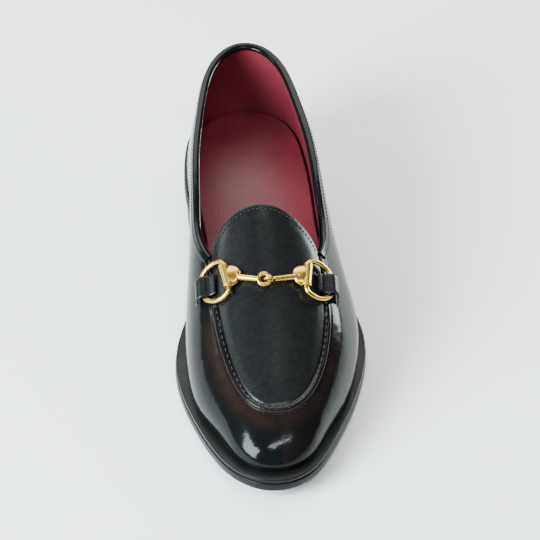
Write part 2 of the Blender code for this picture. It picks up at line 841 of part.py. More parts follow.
def make_heel(group, leather, rubber):
    """The stacked heel and its rubber top lift."""
    stack = (
        (HEEL_TAPER, level_at(TOP_LIFT + GAP)),
        (HEEL_INSET, lambda s: underside(s) - GAP),
    )
    lift = (
        (HEEL_TAPER + EDGE_BEVEL, level_at(0.0)),
        (HEEL_TAPER, level_at(EDGE_BEVEL)),
        (HEEL_TAPER, level_at(TOP_LIFT)),
    )
    make_heel_block("heel_stack", stack, group, leather)
    make_heel_block("top_lift", lift, group, rubber)


def above(across, station, lift):
    """A point over the upper's surface."""
    foot = on_top(np.array([across, station]))
    return foot + outward(foot) * lift


def unit(vector):
    """A vector made one long."""
    return vector / np.linalg.norm(vector)


def square_to(vector, axis):
    """The part of a vector at right angles to an axis, made one long."""
    return unit(vector - axis * np.dot(vector, axis))


def wire(name, points, radii, closed, group):
    """A round wire through points, as a mesh."""
    curve = bpy.data.curves.new(name, "CURVE")
    curve.dimensions = "3D"
    curve.bevel_depth = MILLIMETRE
    curve.bevel_resolution = CAP_SIDES
    curve.use_fill_caps = True
    line = curve.splines.new("POLY")
    line.points.add(len(points) - 1)
    line.use_cyclic_u = closed
    for spot, place, radius in zip(line.points, world(np.array(points)), radii):
        spot.co = (*place, 1.0)
        spot.radius = radius
    drawn = bpy.data.objects.new(name + "_line", curve)
    group.objects.link(drawn)
    graph = bpy.context.evaluated_depsgraph_get()
    mesh = bpy.data.meshes.new_from_object(drawn.evaluated_get(graph))
    bpy.data.objects.remove(drawn)
    form = bmesh.new()
    form.from_mesh(mesh)
    bmesh.ops.remove_doubles(form, verts=form.verts, dist=0.000001)
    bmesh.ops.recalc_face_normals(form, faces=form.faces)
    form.to_mesh(mesh)
    form.free()
    return mesh


def turned(name, low_radius, high_radius, length):
    """A cone or cylinder along Z, standing on the origin."""
    mesh = bpy.data.meshes.new(name)
    form = bmesh.new()
    bmesh.ops.create_cone(form, cap_ends=True, segments=SLEEVE_SIDES, radius1=low_radius * MILLIMETRE,
                          radius2=high_radius * MILLIMETRE, depth=length * MILLIMETRE)
    bmesh.ops.translate(form, verts=form.verts, vec=(0.0, 0.0, length * MILLIMETRE / 2))
    form.to_mesh(mesh)
    form.free()
    return mesh


def place(mesh, foot, axis, side, squash):
    """Stand a turned mesh on a point along an axis, squashed at right angles to a side direction."""
    axis = direction(axis)
    side = direction(side)
    side = (side - axis * side.dot(axis)).normalized()
    third = axis.cross(side) * squash
    spot = Vector(world(foot)[0])
    mesh.transform(Matrix((
        (side.x, third.x, axis.x, spot.x),
        (side.y, third.y, axis.y, spot.y),
        (side.z, third.z, axis.z, spot.z),
        (0.0, 0.0, 0.0, 1.0),
    )))


def cutter(name, mesh, group):
    """A hidden helper for a Boolean."""
    thing = bpy.data.objects.new(name, mesh)
    group.objects.link(thing)
    thing.hide_render = True
    thing.display_type = "WIRE"
    return thing


def combine(thing, helper, operation):
    """Join or cut an object with a helper."""
    step = thing.modifiers.new(helper.name, "BOOLEAN")
    step.object = helper
    step.operation = operation
    step.solver = "EXACT"


def cheek_frame(sign):
    """Middle of a cheek with its outward, toeward and upward directions, and the ring's far point."""
    across, station = CHEEK_MEDIAL if sign < 0 else CHEEK_LATERAL
    middle = above(across, station, CHEEK_LIFT)
    near, far = abs(across), abs(across) + SIDE_REACH / 2
    for _ in range(HALVINGS):
        reach = (near + far) / 2
        tip = above(sign * reach, station, RING_LIFT)
        if np.linalg.norm(tip - middle) < RING_ROUND + RING_OFFSET:
            near = reach
        else:
            far = reach
    out = unit(tip - middle)
    between = (abs(across) + reach) / 2
    front = above(sign * between, station + SLEEVE_LENGTH, RING_LIFT)
    back = above(sign * between, station - SLEEVE_LENGTH, RING_LIFT)
    toeward = square_to(front - back, out)
    return middle, out, toeward, (sign * reach, station)


def make_ring(name, sign, group, material):
    """A D-shaped ring whose straight side turns in the bar's cheek."""
    middle, out, toeward, _ = cheek_frame(sign)
    corner = math.acos(-RING_OFFSET / RING_ROUND) - math.radians(RING_CORNER)
    points = []
    for angle in np.linspace(-corner, corner, RING_POINTS):
        reach = out * (RING_OFFSET + RING_ROUND * math.cos(angle))
        points.append(middle + reach + toeward * RING_ROUND * math.sin(angle))
    chord = math.sqrt(RING_ROUND ** 2 - RING_OFFSET ** 2) - RING_CHORD_INSET
    for share in np.linspace(chord, -chord, RING_STRAIGHT_POINTS):
        points.append(middle + toeward * share)
    mesh = wire(name, points, [RING_WIRE] * len(points), True, group)
    add_mesh(name, mesh, material, group)


def link_frame():
    """Middle of the joined eyes with the directions along the bars, toeward and up."""
    middle = above(*LINK, LINK_LIFT)
    ends = above(*CHEEK_LATERAL, CHEEK_LIFT) - above(*CHEEK_MEDIAL, CHEEK_LIFT)
    foot = on_top(np.array(LINK))
    up = outward(foot)
    across = square_to(unit(ends), up)
    return middle, across, np.cross(up, across), up


def eye_sizes(sign):
    """Round and wire of a bar's eye; the medial one lies flat and the lateral one stands upright in it."""
    if sign < 0:
        return EYE_FLAT_ROUND, EYE_FLAT_WIRE
    return EYE_UPRIGHT_ROUND, EYE_UPRIGHT_WIRE


def eye_circle(sign):
    """Points round a bar's eye, and the point at which the bar runs into it."""
    middle, across, ahead, up = link_frame()
    apart = EYE_FLAT_ROUND + EYE_UPRIGHT_ROUND - EYE_FLAT_WIRE - EYE_UPRIGHT_WIRE - LINK_CLEARANCE
    reach = eye_sizes(sign)[0]
    eye = middle + across * sign * apart / 2
    second = ahead if sign < 0 else up
    turn = np.linspace(0.0, 2 * math.pi, EYE_POINTS, endpoint=False)
    circle = [eye + reach * (across * math.cos(a) + second * math.sin(a)) for a in turn]
    return circle, eye + across * sign * reach


def bar_line(sign, shoulder):
    """Points along a bar, from its cheek over the apron to its eye."""
    cheek = np.array(CHEEK_MEDIAL if sign < 0 else CHEEK_LATERAL)
    line = []
    for share in np.linspace(0.0, 1.0, BAR_POINTS)[:-1]:
        plan = cheek + (shoulder[:2] - cheek) * share
        line.append(above(plan[0], plan[1], CHEEK_LIFT + (LINK_LIFT - CHEEK_LIFT) * share))
    line.append(shoulder)
    return line


def make_bar(name, sign, group, hidden, material):
    """A bar with its cheek sleeve at one end and its eye at the other, in one piece."""
    middle, out, toeward, _ = cheek_frame(sign)
    circle, shoulder = eye_circle(sign)
    line = bar_line(sign, shoulder)
    radii = np.linspace(BAR_THICK, BAR_THIN, len(line))
    bar = add_mesh(name, wire(name, line, radii, False, hidden), material, group)
    eye = wire(name + "_eye", circle, [eye_sizes(sign)[1]] * EYE_POINTS, True, hidden)
    combine(bar, cutter(name + "_eye", eye, hidden), "UNION")
    bell = turned(name + "_bell", BELL_RADIUS, BAR_THICK, BELL_LENGTH)
    inward = unit(line[1] - line[0])
    place(bell, middle + inward * BELL_START, inward, toeward, BELL_FLAT)
    combine(bar, cutter(name + "_bell", bell, hidden), "UNION")
    sleeve = turned(name + "_sleeve", SLEEVE_RADIUS, SLEEVE_RADIUS, SLEEVE_LENGTH)
    place(sleeve, middle - toeward * SLEEVE_LENGTH / 2, toeward, out, 1.0)
    combine(bar, cutter(name + "_sleeve", sleeve, hidden), "UNION")
    bore = turned(name + "_bore", RING_WIRE + GAP, RING_WIRE + GAP, SLEEVE_LENGTH + 2 * BORE_SPARE)
    place(bore, middle - toeward * (SLEEVE_LENGTH / 2 + BORE_SPARE), toeward, out, 1.0)
    combine(bar, cutter(name + "_bore", bore, hidden), "DIFFERENCE")


def make_keeper(name, sign, group, material):
    """A leather strap that passes over the ring's far side and is stitched to the vamp on both sides."""
    _, _, _, (reach, station) = cheek_frame(sign)
    slope = outward(on_top(np.array([reach, station])))[2]
    steps = column(KEEPER, KEEPER_COLUMNS, "across")
    rises = column(KEEPER, KEEPER_COLUMNS, "rise")
    store = Points()
    rows = []
    for offset in np.linspace(-KEEPER_WIDTH / 2, KEEPER_WIDTH / 2, KEEPER_ROWS):
        plan = np.stack([reach + sign * steps * slope, np.full(len(steps), station + offset)], -1)
        foot = on_top(plan)
        rows.append(store.add(foot + outward(foot) * (rises + KEEPER_THICK)[:, None]))
    faces = []
    for first, second in zip(rows, rows[1:]):
        faces += strip(first, second, False)
    sheet(name, store, faces, KEEPER_THICK, material, group)


def main():
    clear_scene()
    group = new_collection("bit_loafer")
    hidden = new_collection("cutters")
    calf = finish_material("polished_calf", (0.012, 0.013, 0.015), 0.16)
    soft_calf = finish_material("soft_calf", (0.016, 0.016, 0.017), 0.34)
    edge = finish_material("sole_edge", (0.015, 0.014, 0.014), 0.42)
    rubber = finish_material("rubber", (0.02, 0.02, 0.02), 0.7)
    sock = finish_material("burgundy_lining", (0.16, 0.018, 0.03), 0.5)
    brass = finish_material("polished_brass", (0.80, 0.56, 0.22), 0.18, 1.0)
    base, normal = make_upper(group, calf)
    make_apron(group, soft_calf, base[-1])
    make_binding(group, calf, base, normal)
    make_outsole(group, edge)
    make_welt(group, edge)
    make_heel(group, edge, rubber)
    make_insole(group, sock)
    for side, sign in (("medial", -1.0), ("lateral", 1.0)):
        make_ring("ring_" + side, sign, group, brass)
        make_bar("bar_" + side, sign, group, hidden, brass)
        make_keeper("keeper_" + side, sign, group, calf)


main()
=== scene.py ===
# %% [markdown]
# # A black bit loafer
#
# A loafer is built on a last, a smooth form of the foot. The maker pulls a calf upper over it, sews an
# apron in with a raised seam, binds the collar, then fixes welt, outsole and heel underneath. A brass
# snaffle bit lies over the apron, held at both ends by a leather keeper.
#
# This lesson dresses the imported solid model. Each visible piece is made again from the same last with a
# much finer mesh, then gets its stitches and a material named for what the real one is.

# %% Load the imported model
import json
import math

import bmesh
import bpy
import numpy as np
from mathutils import Matrix
from mathutils import Vector

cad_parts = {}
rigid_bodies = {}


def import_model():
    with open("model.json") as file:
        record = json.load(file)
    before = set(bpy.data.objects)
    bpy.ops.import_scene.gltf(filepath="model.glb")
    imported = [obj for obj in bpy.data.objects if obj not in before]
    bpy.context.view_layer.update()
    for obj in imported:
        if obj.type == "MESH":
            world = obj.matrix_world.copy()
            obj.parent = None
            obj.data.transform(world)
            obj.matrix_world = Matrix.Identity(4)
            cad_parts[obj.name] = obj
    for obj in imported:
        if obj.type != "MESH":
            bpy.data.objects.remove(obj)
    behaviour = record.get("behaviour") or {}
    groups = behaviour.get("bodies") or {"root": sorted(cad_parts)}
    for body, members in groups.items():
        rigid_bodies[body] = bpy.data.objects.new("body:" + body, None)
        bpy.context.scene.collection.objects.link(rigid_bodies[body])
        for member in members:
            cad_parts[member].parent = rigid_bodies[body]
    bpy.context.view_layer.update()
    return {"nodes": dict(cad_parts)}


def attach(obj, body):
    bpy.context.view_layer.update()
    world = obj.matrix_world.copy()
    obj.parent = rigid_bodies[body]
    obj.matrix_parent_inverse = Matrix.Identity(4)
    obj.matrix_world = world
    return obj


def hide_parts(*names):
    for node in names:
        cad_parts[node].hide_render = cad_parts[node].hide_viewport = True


for thing in list(bpy.data.objects):
    bpy.data.objects.remove(thing)
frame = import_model()
print("packed nodes:", sorted(frame["nodes"]))

# %% [markdown]
# ## The last
#
# A last could be sculpted by eye, but then nothing measured from it would be sure. Here it is a table of
# sections, with a smooth curve drawn through each column. Sizes are millimetres: a station is measured
# forward from the back of the heel, and a height up from the floor.

# %% Sizes of the last and the sole
LAST_LENGTH = 286.0
HEEL_CENTRE = 34.0
HEEL_ROUND = 36.0
TOE_ROUND = 22.0
SOLE_HEEL_ROUND = 38.0
SOLE_TOE_ROUND = 22.5
GAP = 0.3
MILLIMETRE = 0.001
LAST_COLUMNS = ("station", "medial", "lateral", "instep", "belly_medial", "belly_lateral", "squareness")
LAST = (
    (0.0, 0.0, 0.0, 128.0, 0.09, 0.11, 0.60),
    (35.0, 35.0, 34.5, 124.0, 0.10, 0.13, 0.92),
    (70.0, 36.0, 37.8, 116.0, 0.20, 0.20, 1.30),
    (105.0, 31.8, 39.6, 104.0, 0.44, 0.20, 1.80),
    (140.0, 32.7, 46.6, 90.0, 0.50, 0.07, 1.88),
    (175.0, 39.0, 53.6, 74.0, 0.29, 0.02, 1.95),
    (205.0, 42.2, 49.9, 60.5, 0.12, 0.06, 2.30),
    (235.0, 37.4, 39.9, 49.0, 0.08, 0.08, 2.40),
    (262.0, 25.8, 27.0, 40.5, 0.09, 0.11, 2.40),
    (286.0, 0.0, 0.0, 33.0, 0.08, 0.08, 2.40),
)
RIDGE_COLUMNS = ("station", "shift")
RIDGE = ((0.0, 0.0), (100.0, -3.2), (160.0, 0.0), (220.0, 2.7), (286.0, 0.0))
SOLE_COLUMNS = ("station", "medial", "lateral", "underside")
SOLE = (
    (-3.0, 0.0, 0.0, 23.0),
    (35.0, 36.5, 36.5, 22.5),
    (70.0, 37.5, 39.4, 21.0),
    (105.0, 33.4, 41.2, 15.5),
    (140.0, 36.0, 48.7, 7.3),
    (175.0, 47.2, 57.8, 1.0),
    (205.0, 48.4, 54.2, -0.5),
    (235.0, 41.8, 44.4, 1.2),
    (265.0, 31.5, 31.5, 5.0),
    (293.5, 0.0, 0.0, 9.5),
)
TOPLINE_COLUMNS = ("station", "height")
TOPLINE = ((0.0, 80.5), (30.0, 79.2), (60.0, 78.0), (90.0, 75.4), (120.0, 69.6), (145.0, 63.8))
TOE_DROP_POWER = 16.0
TOE_DROP_ROUND = 2.4
BACK_BULGE = 5.0
BACK_LEAN = 1.0
BACK_FADE = 80.0
BACK_HEIGHT = 58.0
BACK_REACH = 1.6
RIDGE_BLEND = 26.0
THROAT_STATION = 167.0
THROAT_MEDIAL = 29.6
THROAT_LATERAL = 31.0
APRON_FRONT = 258.2
APRON_POWER = 2.32
TONGUE_STATION = 148.0
TONGUE_POWER = 1.9
WALL = 2.2
OUTSOLE_THICK = 5.0
WELT_THICK = 2.7
HALVINGS = 34
RAY_REACH = 2.5
SIDE_REACH = 80.0
LOWEST_TOP = 0.3
print("last", LAST_LENGTH, "mm long, ball", LAST[6][1] + LAST[6][2], "mm wide")

# %% [markdown]
# A natural cubic curve through each column gives a last without kinks. Half widths are stored as a
# fullness times a circle-like factor, so that the outline closes round at heel and toe.


# %% Curves through the tables
def column(table, columns, name):
    """One named column of a table as an array."""
    place = columns.index(name)
    return np.array([row[place] for row in table])


def smooth_curve(stations, values):
    """A function that follows a natural cubic curve through a column's values."""
    steps = np.diff(stations)
    count = len(stations)
    system = np.eye(count)
    change = np.zeros(count)
    slopes = np.diff(values) / steps
    for k in range(1, count - 1):
        system[k, k - 1:k + 2] = steps[k - 1], 2 * (steps[k - 1] + steps[k]), steps[k]
        change[k] = 6 * (slopes[k] - slopes[k - 1])
    curve = np.linalg.solve(system, change)
    start = slopes - steps * (2 * curve[:-1] + curve[1:]) / 6
    bend = (curve[1:] - curve[:-1]) / (6 * steps)

    def follow(where):
        at = np.clip(where, stations[0], stations[-1])
        k = np.clip(np.searchsorted(stations, at) - 1, 0, count - 2)
        part = at - stations[k]
        return values[k] + part * (start[k] + part * (curve[k] / 2 + part * bend[k]))

    return follow


def along(table, columns, name):
    """A function of station from one named column."""
    return smooth_curve(column(table, columns, "station"), column(table, columns, name))


def outline_side(table, columns, name, heel_round, toe_round):
    """Squared half width of one side, closing round at the heel and the toe."""
    stations = column(table, columns, "station")
    length = stations[-1] - stations[0]
    share = (stations[1:-1] - stations[0]) / length
    fullness = np.empty(len(stations))
    fullness[0] = math.sqrt(heel_round * length / 2)
    fullness[-1] = math.sqrt(toe_round * length / 2)
    fullness[1:-1] = column(table, columns, name)[1:-1] / np.sqrt(4 * share * (1 - share))
    follow = smooth_curve(stations, fullness)

    def squared(station):
        part = (station - stations[0]) / length
        return 4 * part * (1 - part) * follow(station) ** 2

    return squared


SIDES = ("medial", "lateral")
FEATHER_EDGE = {side: outline_side(LAST, LAST_COLUMNS, side, HEEL_ROUND, TOE_ROUND) for side in SIDES}
SOLE_EDGE = {side: outline_side(SOLE, SOLE_COLUMNS, side, SOLE_HEEL_ROUND, SOLE_TOE_ROUND) for side in SIDES}
FEATHER_ENDS = (LAST[0][0], LAST[-1][0])
SOLE_ENDS = (SOLE[0][0], SOLE[-1][0])
belly_medial = along(LAST, LAST_COLUMNS, "belly_medial")
belly_lateral = along(LAST, LAST_COLUMNS, "belly_lateral")
squareness = along(LAST, LAST_COLUMNS, "squareness")
instep = along(LAST, LAST_COLUMNS, "instep")
ridge_shift = along(RIDGE, RIDGE_COLUMNS, "shift")
underside_curve = along(SOLE, SOLE_COLUMNS, "underside")
print("instep over the ball:", round(float(instep(205.0)), 1), "mm")

# %% [markdown]
# The last itself is one function that is negative inside and positive outside. Points of its surface are
# then found by halving a ray, which is slower than a formula but never leaves the surface.


# %% Surface of the last
def ease(value):
    """Smooth step from 0 to 1."""
    part = np.clip(value, 0.0, 1.0)
    return part * part * (3.0 - 2.0 * part)


def underside(station):
    """Height of the outsole's tread face, flat on the floor under the ball."""
    return np.maximum(underside_curve(station), 0.0)


def sole_top(station):
    """Height of the welt's upper face."""
    return underside(station) + OUTSOLE_THICK + GAP + WELT_THICK


def feather_height(station):
    """Height of the line where the upper stands on the welt."""
    return sole_top(station) + GAP


def spine_height(station):
    """Height of the last's ridge, dropping round at the toe."""
    part = np.clip(station / LAST_LENGTH, 0.0, 1.0)
    drop = (1.0 - part ** TOE_DROP_POWER) ** (1.0 / TOE_DROP_ROUND)
    foot = feather_height(station)
    return foot + (instep(station) - foot) * drop


def back_curve(station, height):
    """How far the heel's back swells and leans at a height."""
    rise = np.clip((height - feather_height(station)) / BACK_HEIGHT, 0.0, BACK_REACH)
    return ease(1.0 - station / BACK_FADE) * (4.0 * BACK_BULGE * rise * (1.0 - rise) - BACK_LEAN * rise)


def last_field(points):
    """Negative inside the last and positive outside; points are across, station and height."""
    across, station, height = np.moveaxis(points, -1, 0)
    foot = feather_height(station)
    share = np.clip((height - foot) / np.maximum(spine_height(station) - foot, 0.01), 0.0, 1.0)
    lean = across - ridge_shift(station) * share ** 2
    seat = station + back_curve(station, height)
    outer = ease(lean / RIDGE_BLEND + 0.5)
    width = FEATHER_EDGE["medial"](seat) * (1 - outer) + FEATHER_EDGE["lateral"](seat) * outer
    belly = belly_medial(station) * (1 - outer) + belly_lateral(station) * outer
    form = (1.0 + belly * (1.0 - (1.0 - share) ** 2)) ** 2 * (1.0 - share ** squareness(station))
    return lean ** 2 - width * form


def halve(inside, low, high):
    """Bisect between values that lie inside and outside the last."""
    for _ in range(HALVINGS):
        middle = (low + high) / 2
        within = inside(middle)
        low = np.where(within, middle, low)
        high = np.where(within, high, middle)
    return (low + high) / 2


def cast(origin, through):
    """Where rays from inner points through outer ones leave the last."""
    ray = through - origin
    near = np.zeros(ray.shape[:-1])
    reach = halve(lambda t: last_field(origin + ray * t[..., None]) < 0, near, near + RAY_REACH)
    return origin + ray * reach[..., None]


def on_top(plan):
    """Surface points of the last above plan points."""
    across, station = np.moveaxis(plan, -1, 0)
    foot = feather_height(station)
    crown = spine_height(station)
    low = foot + LOWEST_TOP * (crown - foot)
    height = halve(lambda z: last_field(np.stack([across, station, z], -1)) < 0, low, crown)
    return np.stack([across, station, height], -1)


def on_side(sign, station, height):
    """Surface points of one side of the last at given stations and heights."""
    near = np.zeros(np.shape(station))
    wide = halve(lambda x: last_field(np.stack([sign * x, station, height], -1)) < 0, near, near + SIDE_REACH)
    return np.stack([sign * wide, station, height], -1)


def outward(points):
    """Unit normals of the last's surface."""
    step = 0.05
    slopes = [last_field(points + step * axis) - last_field(points - step * axis) for axis in np.eye(3)]
    slopes = np.stack(slopes, -1)
    return slopes / np.linalg.norm(slopes, axis=-1, keepdims=True)


def world(points):
    """Millimetres across, along and up to metres in Blender's axes."""
    points = np.atleast_2d(points)
    return np.stack([points[:, 0], HEEL_CENTRE - points[:, 1], points[:, 2]], -1) * MILLIMETRE


print("height of the apron at its middle:", round(float(on_top(np.array([0.0, 200.0]))[2]), 1), "mm")

# %% [markdown]
# ## Pattern lines
#
# A pattern cutter draws three lines on the last: the apron's edge, the tongue's edge and the top line of
# the collar. Superellipses suit the first two, because one power sets how square their corners are.


# %% Lines on the last
def superellipse(angle, half, reach, power):
    """Quarter-round curve from a half width to a reach, flat where the power is high."""
    across = np.sign(np.cos(angle)) * half * np.abs(np.cos(angle)) ** (2 / power)
    return across, reach * np.abs(np.sin(angle)) ** (2 / power)


def apron_plan(angle):
    """Front edge of the apron, from the lateral corner round to the medial one."""
    half = np.where(np.cos(angle) > 0, THROAT_LATERAL, THROAT_MEDIAL)
    across, ahead = superellipse(angle, half, APRON_FRONT - THROAT_STATION, APRON_POWER)
    station = THROAT_STATION + ahead
    return np.stack([across + ridge_shift(station), station], -1)


def tongue_plan(angle):
    """Edge of the tongue, from the medial corner round to the lateral one."""
    half = np.where(np.cos(angle) > 0, THROAT_MEDIAL, THROAT_LATERAL)
    across, behind = superellipse(angle, half, THROAT_STATION - TONGUE_STATION, TONGUE_POWER)
    station = THROAT_STATION - behind
    return np.stack([ridge_shift(station) - across, station], -1)


def travel(points):
    """Distance travelled along a line at each of its points."""
    lengths = np.linalg.norm(np.diff(points, axis=0), axis=1)
    return np.concatenate([[0.0], np.cumsum(lengths)])


def evenly(points, count, crowding=0.0):
    """Points spaced along a fine line, evenly or crowded toward its middle."""
    travelled = travel(points)
    share = np.linspace(0.0, 1.0, count + 1)
    wanted = travelled[-1] * (share + crowding * np.sin(2 * math.pi * share) / (2 * math.pi))
    return np.stack([np.interp(wanted, travelled, points[:, k]) for k in range(points.shape[1])], -1)


def top_height(station, corner):
    """Height of the top line, ending at a throat corner."""
    stations = np.append(column(TOPLINE, TOPLINE_COLUMNS, "station"), THROAT_STATION)
    heights = np.append(column(TOPLINE, TOPLINE_COLUMNS, "height"), corner)
    return smooth_curve(stations, heights)(station)


def back_station(height):
    """Station of the heel's back at a height."""
    station = 0.0
    for _ in range(BACK_STEPS):
        station = -back_curve(station, height)
    return station


BACK_STEPS = 5
FINE_LINE = 900


def topline_side(sign, corner):
    """One side of the top line, from the back of the heel to a throat corner."""
    back = back_station(TOPLINE[0][1])
    share = np.linspace(0.0, 1.0, FINE_LINE)
    station = back + (THROAT_STATION - back) * share ** 2
    points = on_side(sign, station, top_height(station, corner[2]))
    points[0, 0] = 0.0
    return points


def topline():
    """The top line, from the medial throat corner round the heel to the lateral one."""
    start = on_top(tongue_plan(np.array(0.0)))
    end = on_top(apron_plan(np.array(0.0)))
    return np.concatenate([topline_side(-1.0, start)[::-1], topline_side(1.0, end)[1:]])


def outline_plan(edges, ends, angle):
    """Plan points of an outline; the angle starts at the heel and passes the lateral side first."""
    station = ends[0] + (ends[1] - ends[0]) / 2 * (1 - np.cos(angle))
    lateral = np.sin(angle) >= 0
    width = np.where(lateral, edges["lateral"](station), edges["medial"](station))
    across = np.where(lateral, 1.0, -1.0) * np.sqrt(np.maximum(width, 0.0))
    return np.stack([across, station], -1)


def inset_plan(edges, ends, angle, inset):
    """The outline moved inward by an inset."""
    step = 0.001
    ahead = outline_plan(edges, ends, angle + step) - outline_plan(edges, ends, angle - step)
    ahead /= np.linalg.norm(ahead, axis=-1, keepdims=True)
    sideways = np.stack([ahead[..., 1], -ahead[..., 0]], -1)
    return outline_plan(edges, ends, angle) - inset * sideways


def with_height(plan, height):
    """Plan points raised by a function of their station."""
    return np.concatenate([plan, height(plan[..., 1])[..., None]], -1)


print("collar runs", round(float(travel(topline())[-1])), "mm from corner to corner")

# %% [markdown]
# ## Colours and nodes
#
# Screens state colours in sRGB, shaders count light, so one function turns a hex value to linear. One
# more adds a node with its settings and links, which keeps every material below down to what is special
# about it.


# %% Colour and node helpers
def from_hex(text):
    """An sRGB hex value as linear red, green, blue and alpha."""
    parts = [int(text[k:k + 2], 16) / 255 for k in (1, 3, 5)]
    return tuple(v / 12.92 if v <= 0.04045 else ((v + 0.055) / 1.055) ** 2.4 for v in parts) + (1.0,)


def add_node(tree, kind, settings=None, links=None):
    """Add a node, set its values and link what feeds it."""
    node = tree.nodes.new(kind)
    for name, value in (settings or {}).items():
        if isinstance(name, str) and name not in node.inputs:
            setattr(node, name, value)
        else:
            node.inputs[name].default_value = value
    for name, source in (links or {}).items():
        tree.links.new(source, node.inputs[name])
    return node


def new_finish(name, settings):
    """A material with its Principled shader's own sockets set."""
    material = bpy.data.materials.new(name)
    material.use_nodes = True
    tree = material.node_tree
    shader = tree.nodes["Principled BSDF"]
    for socket, value in settings.items():
        shader.inputs[socket].default_value = value
    place = add_node(tree, "ShaderNodeTexCoord").outputs["Object"]
    return material, tree, shader, place


def per_metre(size_mm):
    """How many pattern repeats of a real size fit in a metre."""
    return 1.0 / (size_mm * MILLIMETRE)


print("black calf in linear light:", [round(v, 4) for v in from_hex("#0a0b0c")])

# %% [markdown]
# ### Polished calf
#
# Box calf is chrome tanned and glazed until it shines. The pores are about 0.4 mm apart and nearly filled
# by polish, so the bump is faint and the gloss is uneven over centimetres. The maker burnished a little
# brown through the black beside the seam. The grain is drawn at 0.7 mm, coarser than life, or it wouldn't
# show.


# %% Polished calf
def polished_calf():
    """Glossy black calf with burnished patches that the mesh carries as an attribute."""
    material, tree, shader, place = new_finish("polished_black_calf", {
        "IOR": 1.38, "Specular IOR Level": 0.2})
    burnish = add_node(tree, "ShaderNodeAttribute", {"attribute_name": "burnish"}).outputs["Fac"]
    cloud = add_node(tree, "ShaderNodeTexNoise", {"Scale": per_metre(9.0), "Detail": 4.0}, {"Vector": place})
    patch = add_node(tree, "ShaderNodeMath", {"operation": "MULTIPLY", "use_clamp": True},
                     {0: burnish, 1: cloud.outputs["Fac"]})
    colour = add_node(tree, "ShaderNodeMix",
                      {"data_type": "RGBA", 6: from_hex("#0a0b0c"), 7: from_hex("#241712")},
                      {0: patch.outputs[0]})
    tree.links.new(colour.outputs[2], shader.inputs["Base Color"])
    wipe = add_node(tree, "ShaderNodeTexNoise", {"Scale": per_metre(14.0), "Detail": 3.0}, {"Vector": place})
    gloss = add_node(tree, "ShaderNodeMapRange",
                     {"From Min": 0.3, "From Max": 0.7, "To Min": 0.10, "To Max": 0.20},
                     {"Value": wipe.outputs["Fac"]})
    tree.links.new(gloss.outputs["Result"], shader.inputs["Roughness"])
    pores = add_node(tree, "ShaderNodeTexVoronoi", {"Scale": per_metre(0.7)}, {"Vector": place})
    pull = add_node(tree, "ShaderNodeTexNoise", {"Scale": per_metre(7.0), "Detail": 2.0}, {"Vector": place})
    soft = add_node(tree, "ShaderNodeBump", {"Strength": 0.35, "Distance": 0.5 * MILLIMETRE},
                    {"Height": pull.outputs["Fac"]})
    grain = add_node(tree, "ShaderNodeBump", {"Strength": 0.08, "Distance": 0.1 * MILLIMETRE},
                     {"Height": pores.outputs["Distance"], "Normal": soft.outputs["Normal"]})
    tree.links.new(grain.outputs["Normal"], shader.inputs["Normal"])
    return material


CALF = polished_calf()
print("made", CALF.name)

# %% [markdown]
# ### Apron calf
#
# The apron is cut from softer calf with a visible fine grain of about 0.9 mm, so light spreads over it in
# a satin sheen. Voronoi cells with a little noise read as that grain.


# %% Apron calf
def apron_calf():
    """Satin black calf with a fine pebbled grain."""
    material, tree, shader, place = new_finish("soft_apron_calf", {
        "IOR": 1.42, "Specular IOR Level": 0.3})
    drift = add_node(tree, "ShaderNodeTexNoise", {"Scale": per_metre(3.0), "Detail": 3.0}, {"Vector": place})
    tint = add_node(tree, "ShaderNodeMix",
                    {"data_type": "RGBA", 6: from_hex("#090a0a"), 7: from_hex("#131415")},
                    {0: drift.outputs["Fac"]})
    tree.links.new(tint.outputs[2], shader.inputs["Base Color"])
    gloss = add_node(tree, "ShaderNodeMapRange", {"To Min": 0.24, "To Max": 0.36},
                     {"Value": drift.outputs["Fac"]})
    tree.links.new(gloss.outputs["Result"], shader.inputs["Roughness"])
    pebbles = add_node(tree, "ShaderNodeTexVoronoi", {"feature": "SMOOTH_F1", "Scale": per_metre(0.9)},
                       {"Vector": place})
    bump = add_node(tree, "ShaderNodeBump", {"Strength": 0.30, "Distance": 0.18 * MILLIMETRE},
                    {"Height": pebbles.outputs["Distance"]})
    tree.links.new(bump.outputs["Normal"], shader.inputs["Normal"])
    return material


APRON_CALF = apron_calf()
print("made", APRON_CALF.name)

# %% [markdown]
# ### Lining, edge ink, stacked leather, rubber, thread and brass
#
# The lining is burgundy goat with a soft grain of 1.1 mm. Welt and outsole edges are inked black and
# burnished with a hot iron, which leaves fine lines along them. The heel is a stack of 3.5 mm leather
# lifts under the same ink. The top lift is moulded rubber. Thread is waxed, and the bit is cast, polished
# and lacquered brass, which keeps the default IOR as a metal and wears to a slightly uneven gloss.


# %% Other finishes
def burgundy_goat():
    """Matt burgundy lining leather."""
    material, tree, shader, place = new_finish("burgundy_goat_lining", {"Roughness": 0.5, "IOR": 1.5})
    cloud = add_node(tree, "ShaderNodeTexNoise", {"Scale": per_metre(12.0), "Detail": 5.0}, {"Vector": place})
    tint = add_node(tree, "ShaderNodeMix",
                    {"data_type": "RGBA", 6: from_hex("#5c1a26"), 7: from_hex("#7c2633")},
                    {0: cloud.outputs["Fac"]})
    tree.links.new(tint.outputs[2], shader.inputs["Base Color"])
    skin = add_node(tree, "ShaderNodeTexVoronoi", {"Scale": per_metre(1.1)}, {"Vector": place})
    bump = add_node(tree, "ShaderNodeBump", {"Strength": 0.3, "Distance": 0.2 * MILLIMETRE},
                    {"Height": skin.outputs["Distance"]})
    tree.links.new(bump.outputs["Normal"], shader.inputs["Normal"])
    return material


